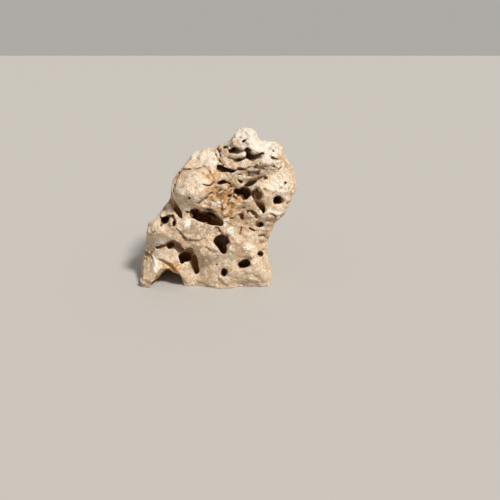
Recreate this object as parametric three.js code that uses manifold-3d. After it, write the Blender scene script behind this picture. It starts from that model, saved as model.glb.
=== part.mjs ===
// A holey limestone rock of the kind set up in aquariums: one standing stone, bored through with burrows.
// Millimetres, +Z up, +X to the right and +Y away from whoever looks at its face.
// It rests on z = 0, on a flat break, and the origin is under the middle of its box.
import * as THREE from "three";
import { ImprovedNoise } from "three/addons/math/ImprovedNoise.js";
import { mergeVertices } from "three/addons/utils/BufferGeometryUtils.js";
import Module from "manifold-3d";

const wasm = await Module();
wasm.setup();

// Driving dimensions.
const BLEND = 30; // how far one lump of stone melts into the next
const CORE = new THREE.Vector3(2, 0, 140); // the body's surface is seen whole from here
const REACH = 280; // further from the core than any of the stone
const BODY_DETAIL = 13; // icosahedron splits of the body
const WAVES = [
  { length: 58, height: 8 },
  { length: 27, height: 4 },
]; // the body's uneven surface: wavelength and height
const BURROW_WAVE = { length: 17, height: 0.2 }; // a burrow's uneven wall, height as a share of its radius
const FACET = 9.5; // size of the facets round a burrow
const SIDES = { least: 8, most: 14 }; // facets round a burrow
const MOUTH = 14; // how far a cutter starts outside the stone
const BEND = { along: 0.45, drift: 0.3 }; // a burrow's bend: its share of the depth, and of the drift by then
const FACE_Y = -80; // marks on the face are laid out on this upright plane
const EYE = new THREE.Vector3(71.5, -1118, 543); // and carried to the stone along lines from this eye
const RAYS = 120; // directions in which the outline is fitted
const FIT_ROUNDS = 4;
const FIT_RIM = { inner: 0.3, outer: 0.95 }; // the fit fades in between these shares of the way to the outline
const MARCH = { step: 4, halvings: 12 }; // how the body's surface is found along a line

// The outline that the stone shows to the eye, on the upright plane through the core,
// from its left foot over its top.
const OUTLINE = [
  [-177, -40], [-170, 5], [-164, 38], [-157, 66], [-151, 96], [-142, 130], [-126, 149], [-111, 164],
  [-100, 177], [-94, 199], [-86, 214], [-78, 228], [-63, 250], [-49, 265], [-33, 277], [-17, 284],
  [-1, 282], [15, 288], [32, 293], [43, 308], [55, 319], [67, 322], [78, 318], [88, 306], [96, 298],
  [107, 295], [122, 294], [135, 288], [142, 275], [149, 258], [158, 240], [165, 222], [171, 202],
  [165, 183], [156, 165], [149, 145], [129, 125], [121, 106], [112, 88], [108, 66], [111, 40],
  [119, 10], [123, -40],
];

// The body's lumps: centre, half sizes, and roll about Y in degrees, clockwise seen from the front.
const LUMPS = [
  { name: "left foot", at: [-92, 5, 30], size: [72, 84, 70], roll: 0 },
  { name: "left shoulder", at: [-80, 0, 116], size: [58, 76, 56], roll: 0 },
  { name: "right foot", at: [36, 5, 35], size: [84, 86, 80], roll: 0 },
  { name: "shelf", at: [-10, -8, 106], size: [88, 84, 44], roll: 8 },
  { name: "waist", at: [10, 4, 150], size: [92, 76, 60], roll: 0 },
  { name: "saddle", at: [-44, -4, 176], size: [52, 64, 44], roll: 0 },
  { name: "bulb", at: [-36, -38, 220], size: [44, 50, 40], roll: 0 },
  { name: "back lobe", at: [-18, 12, 250], size: [52, 54, 38], roll: -12 },
  { name: "crown", at: [31, 2, 236], size: [58, 60, 52], roll: 0 },
  { name: "cheek", at: [98, -10, 204], size: [62, 72, 46], roll: 0 },
  { name: "head", at: [92, 8, 226], size: [70, 64, 60], roll: 0 },
  { name: "cap", at: [94, 0, 264], size: [50, 56, 34], roll: 0 },
  { name: "knob", at: [66, 2, 290], size: [32, 40, 30], roll: 0 },
  { name: "neck", at: [72, 0, 132], size: [46, 70, 56], roll: 0 },
  { name: "right flank", at: [70, 6, 78], size: [40, 70, 50], roll: 0 },
];

// Burrows in the face. at: the mouth's middle on the face plane, [x, z]. wide, tall: half sizes of the mouth.
// roll: clockwise, in degrees. deep: how far it goes in.
// drift: where its end lies off the line of sight, [x, z].
const FACE_BURROWS = [
  { name: "cave", at: [-11, 165], wide: 31, tall: 14.5, roll: 8, deep: 76, drift: [8, 22] },
  { name: "pear", at: [15, 107], wide: 14.5, tall: 20, roll: -8, deep: 66, drift: [8, 22] },
  { name: "window", at: [-94, 155], wide: 7.5, tall: 8.5, roll: -30, deep: 66, drift: [8, 8] },
  { name: "window slit", at: [-78, 151], wide: 5, tall: 10, roll: 8, deep: 44, drift: [4, 6] },
  { name: "arch eye", at: [-57, 77], wide: 12.5, tall: 12, roll: 0, deep: 58, drift: [10, 20] },
  { name: "toe arch", at: [-98, 14], wide: 30, tall: 34, roll: 6, deep: 46, drift: [4, 4] },
  { name: "side notch", at: [-125, 81], wide: 8, tall: 11, roll: -35, deep: 30, drift: [16, 6] },
  { name: "bung hole", at: [123, 199], wide: 9.5, tall: 8.5, roll: 0, deep: 60, drift: [-4, 14] },
  { name: "twin left", at: [46, 215], wide: 6.5, tall: 8, roll: -20, deep: 40, drift: [4, 8] },
  { name: "twin right", at: [63, 210], wide: 11, tall: 11, roll: 0, deep: 56, drift: [2, 16] },
  { name: "third eye", at: [86, 210], wide: 9, tall: 11.5, roll: 0, deep: 44, drift: [6, 10] },
  { name: "sill hole", at: [90, 148], wide: 8.5, tall: 5.5, roll: 0, deep: 40, drift: [0, 10] },
  { name: "cap slot left", at: [43, 295], wide: 11, tall: 5.5, roll: 0, deep: 36, drift: [4, 8] },
  { name: "cap slot", at: [77, 283], wide: 16, tall: 7, roll: -12, deep: 46, drift: [0, 12] },
  { name: "cap pit", at: [66, 295], wide: 5.5, tall: 5.5, roll: 0, deep: 34, drift: [2, 8] },
  { name: "low cap slot", at: [47, 276], wide: 8, tall: 4.5, roll: -10, deep: 30, drift: [2, 4] },
  { name: "seam slot", at: [18, 261], wide: 13, tall: 7.5, roll: 22, deep: 42, drift: [4, 10] },
  { name: "seam pit", at: [19, 235], wide: 9.5, tall: 4.5, roll: -8, deep: 32, drift: [2, 8] },
  { name: "ledge recess", at: [108, 158], wide: 21, tall: 9, roll: -6, deep: 22, drift: [-2, 2] },
  { name: "low cave", at: [60, 62], wide: 17, tall: 12, roll: -18, deep: 56, drift: [-6, 18] },
  { name: "low eye", at: [18, 42], wide: 8, tall: 10, roll: 10, deep: 38, drift: [4, 8] },
  { name: "flank eye", at: [92, 84], wide: 8, tall: 8, roll: 0, deep: 34, drift: [-2, 8] },
];

// Burrows round the rest of the stone. aim: a point inside the stone that the mouth lies before, [x, y, z].
// turn: the side it is seen from, in degrees: 0 the face, 90 the right, 180 the back.
// tilt: how far from above it is seen.
const AROUND_BURROWS = [
  { name: "back cave", aim: [54, 0, 118], turn: 184, tilt: 4, wide: 25, tall: 17, roll: -20, deep: 60 },
  { name: "back window", aim: [-92, 0, 146], turn: 178, tilt: 0, wide: 11, tall: 12, roll: 0, deep: 84 },
  { name: "back bung hole", aim: [118, 0, 196], turn: 176, tilt: 0, wide: 9, tall: 11, roll: 0, deep: 66 },
  { name: "back eye", aim: [0, 0, 208], turn: 190, tilt: 5, wide: 13, tall: 11, roll: 0, deep: 46 },
  { name: "back slot", aim: [-52, 0, 200], turn: 164, tilt: 5, wide: 20, tall: 8, roll: 24, deep: 36 },
  { name: "back pear", aim: [-38, 0, 92], turn: 176, tilt: 6, wide: 12, tall: 15, roll: 12, deep: 50 },
  { name: "back toe arch", aim: [16, 0, 14], turn: 182, tilt: 0, wide: 28, tall: 24, roll: 0, deep: 44 },
  { name: "back low hole", aim: [-106, 0, 52], turn: 190, tilt: 0, wide: 10, tall: 9, roll: 0, deep: 38 },
  { name: "back top slot", aim: [94, 0, 256], turn: 178, tilt: 8, wide: 13, tall: 7, roll: -12, deep: 34 },
  { name: "right cave", aim: [0, 4, 106], turn: 92, tilt: 4, wide: 17, tall: 13, roll: 16, deep: 46 },
  { name: "right eye", aim: [0, -14, 216], turn: 92, tilt: 0, wide: 11, tall: 10, roll: 0, deep: 40 },
  { name: "right pit", aim: [0, 30, 192], turn: 84, tilt: 0, wide: 8, tall: 9, roll: 0, deep: 30 },
  { name: "right low hole", aim: [0, 32, 44], turn: 98, tilt: 6, wide: 10, tall: 12, roll: -10, deep: 40 },
  { name: "left cave", aim: [0, 18, 108], turn: 266, tilt: 4, wide: 15, tall: 11, roll: -12, deep: 42 },
  { name: "left low hole", aim: [0, 44, 50], turn: 258, tilt: 4, wide: 11, tall: 14, roll: 0, deep: 38 },
  { name: "left pit", aim: [0, 26, 190], turn: 262, tilt: 10, wide: 9, tall: 11, roll: 0, deep: 32 },
  { name: "crest pit", aim: [-28, 26, 200], turn: 190, tilt: 52, wide: 12, tall: 8, roll: 20, deep: 32 },
];

// Grooves worn along the face: the points they pass on the face plane, half width,
// and how deep their middle lies.
const FACE_GROOVES = [
  { name: "left cleft", path: [[-80, 192], [-73, 177], [-63, 160]], radius: 7, sink: 4 },
  { name: "arch", path: [[-108, 98], [-92, 104], [-78, 107], [-62, 91]], radius: 8, sink: 2 },
  { name: "finger", path: [[-54, 91], [-43, 85], [-38, 66], [-33, 44]], radius: 7.5, sink: 1 },
  { name: "wink", path: [[80, 198], [88, 187], [97, 174]], radius: 6, sink: 3 },
  { name: "furrow", path: [[68, 232], [80, 240], [92, 247], [110, 252]], radius: 9, sink: -2 },
];

const noise = new ImprovedNoise();

// How far a surface point stands out of the plain form, by the waves given.
function unevenness(point, waves) {
  let sum = 0;
  for (const wave of waves) {
    sum += wave.height * noise.noise(point.x / wave.length, point.y / wave.length, point.z / wave.length);
  }
  return sum;
}

// About how far a point lies outside a lump.
function lumpDistance(point, lump) {
  const local = point.clone().sub(new THREE.Vector3(...lump.at));
  local.applyAxisAngle(new THREE.Vector3(0, 1, 0), THREE.MathUtils.degToRad(-lump.roll));
  const size = new THREE.Vector3(...lump.size);
  const scaled = local.clone().divide(size);
  const steep = scaled.clone().divide(size).length();
  const share = scaled.length();
  return steep > 0 ? (share * (share - 1)) / steep : -Math.min(...lump.size);
}

// The smaller of two distances, with a fillet of the blend's size between their surfaces.
function melt(a, b) {
  const near = Math.max(BLEND - Math.abs(a - b), 0) / BLEND;
  return Math.min(a, b) - (near * near * BLEND) / 4;
}

function bodyDistance(point) {
  return LUMPS.map((lump) => lumpDistance(point, lump)).reduce(melt);
}

// How far the body reaches from its core in a direction.
function bodyRadius(direction) {
  const at = (r) => CORE.clone().addScaledVector(direction, r);
  let outside = REACH;
  while (bodyDistance(at(outside - MARCH.step)) > 0) outside -= MARCH.step;
  let inside = outside - MARCH.step;
  for (let i = 0; i < MARCH.halvings; i++) {
    const middle = (inside + outside) / 2;
    if (bodyDistance(at(middle)) > 0) outside = middle;
    else inside = middle;
  }
  return inside + unevenness(at(inside), WAVES);
}

function forEachVertex(geometry, move) {
  const position = geometry.getAttribute("position");
  const vertex = new THREE.Vector3();
  for (let i = 0; i < position.count; i++) {
    vertex.fromBufferAttribute(position, i);
    move(vertex);
    position.setXYZ(i, vertex.x, vertex.y, vertex.z);
  }
}

// A closed three.js geometry as a solid that can be cut and joined.
function solidOf(geometry) {
  const bare = new THREE.BufferGeometry();
  bare.setAttribute("position", geometry.getAttribute("position"));
  if (geometry.index) bare.setIndex(geometry.index);
  const merged = mergeVertices(bare, 1e-3);
  const corners = merged.index.array;
  const faces = [];
  for (let i = 0; i < corners.length; i += 3) {
    const [a, b, c] = corners.slice(i, i + 3);
    if (a !== b && b !== c && c !== a) faces.push(a, b, c);
  }
  const vertProperties = merged.attributes.position.array;
  return new wasm.Manifold(new wasm.Mesh({ numProp: 3, vertProperties, triVerts: new Uint32Array(faces) }));
}

function geometryOf(solid) {
  const mesh = solid.getMesh();
  const geometry = new THREE.BufferGeometry();
  geometry.setAttribute("position", new THREE.BufferAttribute(mesh.vertProperties, 3));
  geometry.setIndex(new THREE.BufferAttribute(mesh.triVerts, 1));
  geometry.computeVertexNormals();
  return geometry;
}

// How a point appears to the eye: its direction and distance from the core,
// on the upright plane through the core.
function seen(point) {
  const share = (CORE.y - EYE.y) / (point.y - EYE.y);
  const x = EYE.x + (point.x - EYE.x) * share - CORE.x;
  const z = EYE.z + (point.z - EYE.z) * share - CORE.z;
  return { x, z, far: Math.hypot(x, z), angle: (Math.atan2(z, x) + 2 * Math.PI) % (2 * Math.PI) };
}

// Raises a list of reaches, one per ray, to take in the line between two seen points.
function takeIn(reaches, a, b) {
  const turn = Math.atan2(a.x * b.z - a.z * b.x, a.x * b.x + a.z * b.z);
  const [first, last] = turn > 0 ? [a, b] : [b, a];
  const spacing = (2 * Math.PI) / RAYS;
  const start = Math.ceil(first.angle / spacing);
  const end = Math.floor((first.angle + Math.abs(turn)) / spacing);
  for (let i = start; i <= end; i++) {
    const [c, d] = [Math.cos(i * spacing), Math.sin(i * spacing)];
    const along = (first.x * d - first.z * c) / (first.x * d - first.z * c - (last.x * d - last.z * c));
    const far = (first.x + (last.x - first.x) * along) * c + (first.z + (last.z - first.z) * along) * d;
    reaches[i % RAYS] = Math.max(reaches[i % RAYS], far);
  }
}

function readReach(reaches, angle) {
  const place = (angle / (2 * Math.PI)) * RAYS;
  const low = Math.floor(place);
  return THREE.MathUtils.lerp(reaches[low % RAYS], reaches[(low + 1) % RAYS], place - low);
}

function makeBody() {
  const sphere = new THREE.IcosahedronGeometry(1, BODY_DETAIL);
  sphere.deleteAttribute("normal");
  sphere.deleteAttribute("uv");
  const geometry = mergeVertices(sphere, 1e-5);
  const directions = [];
  forEachVertex(geometry, (vertex) => directions.push(vertex.clone().normalize()));
  const radii = directions.map(bodyRadius);
  const corners = geometry.index.array;
  const wanted = new Array(RAYS).fill(0);
  const marks = OUTLINE.map(([x, z]) => seen(new THREE.Vector3(x, CORE.y, z)));
  marks.forEach((mark, i) => takeIn(wanted, mark, marks[(i + 1) % marks.length]));
  for (let round = 0; round < FIT_ROUNDS; round++) {
    const places = directions.map((direction, i) => seen(CORE.clone().addScaledVector(direction, radii[i])));
    const shown = new Array(RAYS).fill(0);
    for (let i = 0; i < corners.length; i += 3) {
      const [a, b, c] = [places[corners[i]], places[corners[i + 1]], places[corners[i + 2]]];
      takeIn(shown, a, b);
      takeIn(shown, b, c);
      takeIn(shown, c, a);
    }
    places.forEach((place, i) => {
      const reach = readReach(shown, place.angle);
      const factor = readReach(wanted, place.angle) / reach;
      const share = THREE.MathUtils.smoothstep(place.far / reach, FIT_RIM.inner, FIT_RIM.outer);
      radii[i] *= THREE.MathUtils.lerp(1, factor, share);
    });
  }
  let i = 0;
  forEachVertex(geometry, (vertex) => {
    vertex.copy(CORE).addScaledVector(directions[i], radii[i]);
    i += 1;
  });
  return solidOf(geometry);
}

// Where a line from outside first meets the body.
function meetBody(from, direction) {
  const raycaster = new THREE.Raycaster(from, direction);
  const hits = raycaster.intersectObject(bodyMesh);
  return hits.length ? hits[0].point : null;
}

// A mark on the face plane carried along the line of sight to the stone, with that line's direction.
function onFace([x, z]) {
  const direction = new THREE.Vector3(x, FACE_Y, z).sub(EYE).normalize();
  const point = meetBody(EYE, direction) ?? new THREE.Vector3(x, FACE_Y, z);
  return { point, direction };
}

// A capsule bent along a curve, with an oval section: wide across, tall upwards.
function bentCapsule(points, wide, tall, roll, steps) {
  const curve = new THREE.CatmullRomCurve3(points);
  const wanted = Math.round((Math.PI * (wide + tall)) / FACET);
  const around = THREE.MathUtils.clamp(wanted, SIDES.least, SIDES.most);
  const geometry = new THREE.CapsuleGeometry(1, 2, around > 12 ? 3 : 2, around, steps);
  const turn = THREE.MathUtils.degToRad(-roll);
  const up = new THREE.Vector3(0, 0, 1);
  forEachVertex(geometry, (vertex) => {
    const along = THREE.MathUtils.clamp(vertex.y, -1, 1);
    const share = (along + 1) / 2;
    const middle = curve.getPoint(share);
    const ahead = curve.getTangent(share);
    const side = ahead.clone().cross(up).normalize();
    const rise = side.clone().cross(ahead);
    const across = side.clone().multiplyScalar(Math.cos(turn)).addScaledVector(rise, Math.sin(turn));
    const upright = rise.multiplyScalar(Math.cos(turn)).addScaledVector(side, -Math.sin(turn));
    const out = across.multiplyScalar(vertex.x * wide).addScaledVector(upright, vertex.z * tall);
    out.addScaledVector(ahead, (vertex.y - along) * Math.min(wide, tall));
    const bump = 1 + unevenness(middle.clone().add(out), [BURROW_WAVE]);
    vertex.copy(middle).addScaledVector(out, bump);
  });
  return solidOf(geometry);
}

// A burrow that starts outside a mouth and runs in along a direction, ending beside it by its drift.
function burrow(mouth, direction, side, { wide, tall, roll, deep, drift = [0, 0] }) {
  const shift = side.clone().multiplyScalar(drift[0]).add(new THREE.Vector3(0, 0, drift[1]));
  const start = mouth.clone().addScaledVector(direction, -MOUTH);
  const middle = mouth.clone().addScaledVector(direction, deep * BEND.along);
  middle.addScaledVector(shift, BEND.drift);
  const end = mouth.clone().addScaledVector(direction, deep).add(shift);
  return bentCapsule([start, middle, end], wide, tall, roll, deep > 45 ? 3 : 2);
}

function faceBurrow(form) {
  const { point, direction } = onFace(form.at);
  return burrow(point, direction, new THREE.Vector3(1, 0, 0), form);
}

function aroundBurrow(form) {
  const turn = THREE.MathUtils.degToRad(form.turn);
  const tilt = THREE.MathUtils.degToRad(form.tilt);
  const direction = new THREE.Vector3(0, Math.cos(tilt), -Math.sin(tilt));
  direction.applyAxisAngle(new THREE.Vector3(0, 0, 1), turn);
  const side = new THREE.Vector3(Math.cos(turn), Math.sin(turn), 0);
  const outside = new THREE.Vector3(...form.aim).addScaledVector(direction, -2 * REACH);
  return burrow(meetBody(outside, direction), direction, side, form);
}

function faceGroove({ path, radius, sink }) {
  const points = path.map((mark) => {
    const { point, direction } = onFace(mark);
    return point.addScaledVector(direction, sink);
  });
  return bentCapsule(points, radius, radius, 0, 5);
}

const body = makeBody();
const bodyMesh = new THREE.Mesh(geometryOf(body));

function makeRock() {
  let stone = body;
  for (const form of FACE_BURROWS) stone = stone.subtract(faceBurrow(form));
  for (const form of AROUND_BURROWS) stone = stone.subtract(aroundBurrow(form));
  for (const form of FACE_GROOVES) stone = stone.subtract(faceGroove(form));
  const ground = new THREE.BoxGeometry(3 * REACH, 3 * REACH, REACH).translate(0, 0, -REACH / 2);
  return stone.subtract(solidOf(ground));
}

function limestone() {
  return new THREE.MeshStandardMaterial({ color: 0xcdb99a, roughness: 0.92, metalness: 0 });
}

// The rock's geometry, moved so that the origin is under the middle of its box.
function centred(geometry) {
  geometry.computeBoundingBox();
  const middle = geometry.boundingBox.getCenter(new THREE.Vector3());
  return geometry.translate(-middle.x, -middle.y, 0);
}

const rock = new THREE.Mesh(centred(geometryOf(makeRock())), limestone());
rock.name = "rock";

const part = new THREE.Group();
part.add(rock);

export default part;
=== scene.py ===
"""Dresses a holey limestone rock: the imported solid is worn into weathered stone, coloured and lit."""

import math

import bmesh
import bpy
import numpy as np
import openvdb
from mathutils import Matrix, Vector


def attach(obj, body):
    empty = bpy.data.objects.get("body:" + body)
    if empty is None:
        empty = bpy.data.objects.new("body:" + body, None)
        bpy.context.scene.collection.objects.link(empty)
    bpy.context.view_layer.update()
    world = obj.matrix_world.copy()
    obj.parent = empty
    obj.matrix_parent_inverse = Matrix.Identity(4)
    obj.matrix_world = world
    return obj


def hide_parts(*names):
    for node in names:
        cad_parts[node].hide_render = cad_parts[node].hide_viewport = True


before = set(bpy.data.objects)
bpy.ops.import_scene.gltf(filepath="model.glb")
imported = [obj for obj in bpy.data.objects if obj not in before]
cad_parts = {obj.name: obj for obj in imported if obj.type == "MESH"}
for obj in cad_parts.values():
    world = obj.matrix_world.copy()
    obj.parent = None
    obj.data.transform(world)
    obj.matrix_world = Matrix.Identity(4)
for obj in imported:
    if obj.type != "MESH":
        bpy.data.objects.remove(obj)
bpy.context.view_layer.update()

bl_info = {
    "name": "Holey Rock",
    "version": (1, 0, 0),
    "blender": (4, 5, 0),
    "location": "3D View > Sidebar > Holey Rock",
    "description": "Wears the solid of a holey rock into weathered limestone and lights it",
    "category": "Object",
}

MM = 0.001  # m, everything is worked out in mm until the mesh is made
EYE = np.array((71.5, -1118.0, 543.0))  # mm, where the face is seen from
PITCH = 23.46  # degrees that the view looks down
SENSOR_WIDTH = 36.0  # mm
VIEW_WIDTH = 500  # pixels
FOCAL_LENGTH = 561  # pixels

FACE_Y = -80.0  # mm, marks on the face are laid out on this upright plane, as seen from the eye
MAP_LOW = (-190.0, -30.0)  # mm, the lowest corner of the maps drawn on that plane
MAP_HIGH = (190.0, 350.0)
SKIN_STEP = 2  # mm between the places where the stone's skin is mapped

BLOCK_MARGIN = 16  # mm of air round the stone in its block of cells
TRUE_CELLS = 12.0  # how many cells from the surface the distances are true
CLEAR = 20  # mm, stands for a distance that is well clear of a mark
OUTSIDE = 40.0  # mm, the distance that is taken outside the block
FOOT_HEIGHT = 8.0  # mm, the stone's section here is carried on down to its foot
EDGE_SOFTNESS = 4.2  # mm, how far the solid's edges are smoothed
RAY_START = 940.0  # mm from the eye, in front of the whole stone
RAY_END = 1400  # mm from the eye, behind the whole stone
RAY_STEPS = 70
MISSED = 1e4  # mm, how far away the skin is taken to be where a ray passes the stone
SKIN_LIMIT = 1300  # mm from the eye, the farthest that the map of the skin holds
PLUG_DEPTH = 26  # mm, how far in behind the skin the solid's own burrows are stopped up
HOLLOW_FRONT = 14  # mm, how far in front of the skin the cutting of a hollow starts

BED_RISE = np.array((0.35, -0.25, 0.9))  # the way across the limestone's beds
BED_HEIGHT = 7.5  # mm
BED_COUNT = 97  # beds with heights of their own, after which they repeat
RELIEF_LIMIT = 6.5  # mm that marks on the face may stand out
EDGE_SWELL, EDGE_WIDTH = 3.2, 8  # mm, so that the stone fills its outline before it is cut back to it
PIT_SPACING = 9  # mm
PIT_LOWEST = 8  # mm above the ground

# Small pits: least roughness, how common they are, least size and spread of sizes in mm.
FACE_PITS = (0.45, 0.3, 1.1, 1.1)
OTHER_PITS = (0.3, 0.9, 1.6, 4.6)

FLOOR_HALF = 6  # m
KEY_PLACE = (0.9, -1.0, 1.6)  # m
KEY_WAY = Vector((-0.62, 0.72, -1.08))
KEY_COLOUR = (1.0, 0.98, 0.945)
SKY_COLOUR = (1.0, 0.96, 0.91, 1)

# The outline the stone shows to the eye, from its left foot over its top to the right of its waist.
OUTLINE = (
    (-150, 33), (-150, 47), (-148, 59), (-146, 72), (-144, 81), (-141, 88), (-140, 97), (-138, 103),
    (-136, 115), (-134, 127), (-132, 137), (-131, 146), (-129, 152), (-127, 155), (-121, 155),
    (-113, 159), (-110, 164), (-107, 170), (-103, 175), (-98, 180), (-94, 188), (-92, 190), (-87, 195),
    (-83, 201), (-81, 206), (-81, 215), (-80, 224), (-78, 232), (-76, 239), (-72, 245), (-67, 251),
    (-64, 256), (-59, 260), (-53, 266), (-50, 272), (-45, 278), (-41, 283), (-41, 286), (-37, 291),
    (-31, 294), (-25, 296), (-19, 298), (-14, 300), (-8, 304), (-2, 305), (4, 303), (6, 299), (9, 300),
    (12, 303), (15, 307), (21, 311), (22, 311), (26, 313), (32, 312), (35, 315), (37, 318), (39, 323),
    (42, 327), (46, 332), (51, 336), (58, 339), (65, 339), (71, 338), (77, 336), (82, 333), (85, 328),
    (86, 324), (85, 321), (90, 316), (94, 314), (99, 314), (104, 313), (110, 313), (117, 314), (122, 313),
    (127, 311), (131, 307), (133, 303), (133, 296), (134, 289), (138, 286), (140, 282), (144, 275),
    (149, 270), (152, 264), (155, 258), (157, 252), (156, 247), (159, 242), (161, 235), (162, 228),
    (160, 221), (157, 214), (154, 208), (152, 202), (149, 196), (147, 190), (144, 184), (143, 178),
    (141, 171), (137, 166), (131, 161), (125, 156), (121, 152), (119, 146), (119, 139), (115, 129),
    (112, 120), (108, 112), (107, 105),
)

# How that outline is carried on loosely round the foot, where nothing is traced.
FOOT_OUTLINE = ((116, 88), (134, 60), (140, -40), (-172, -40), (-166, 10))

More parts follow.
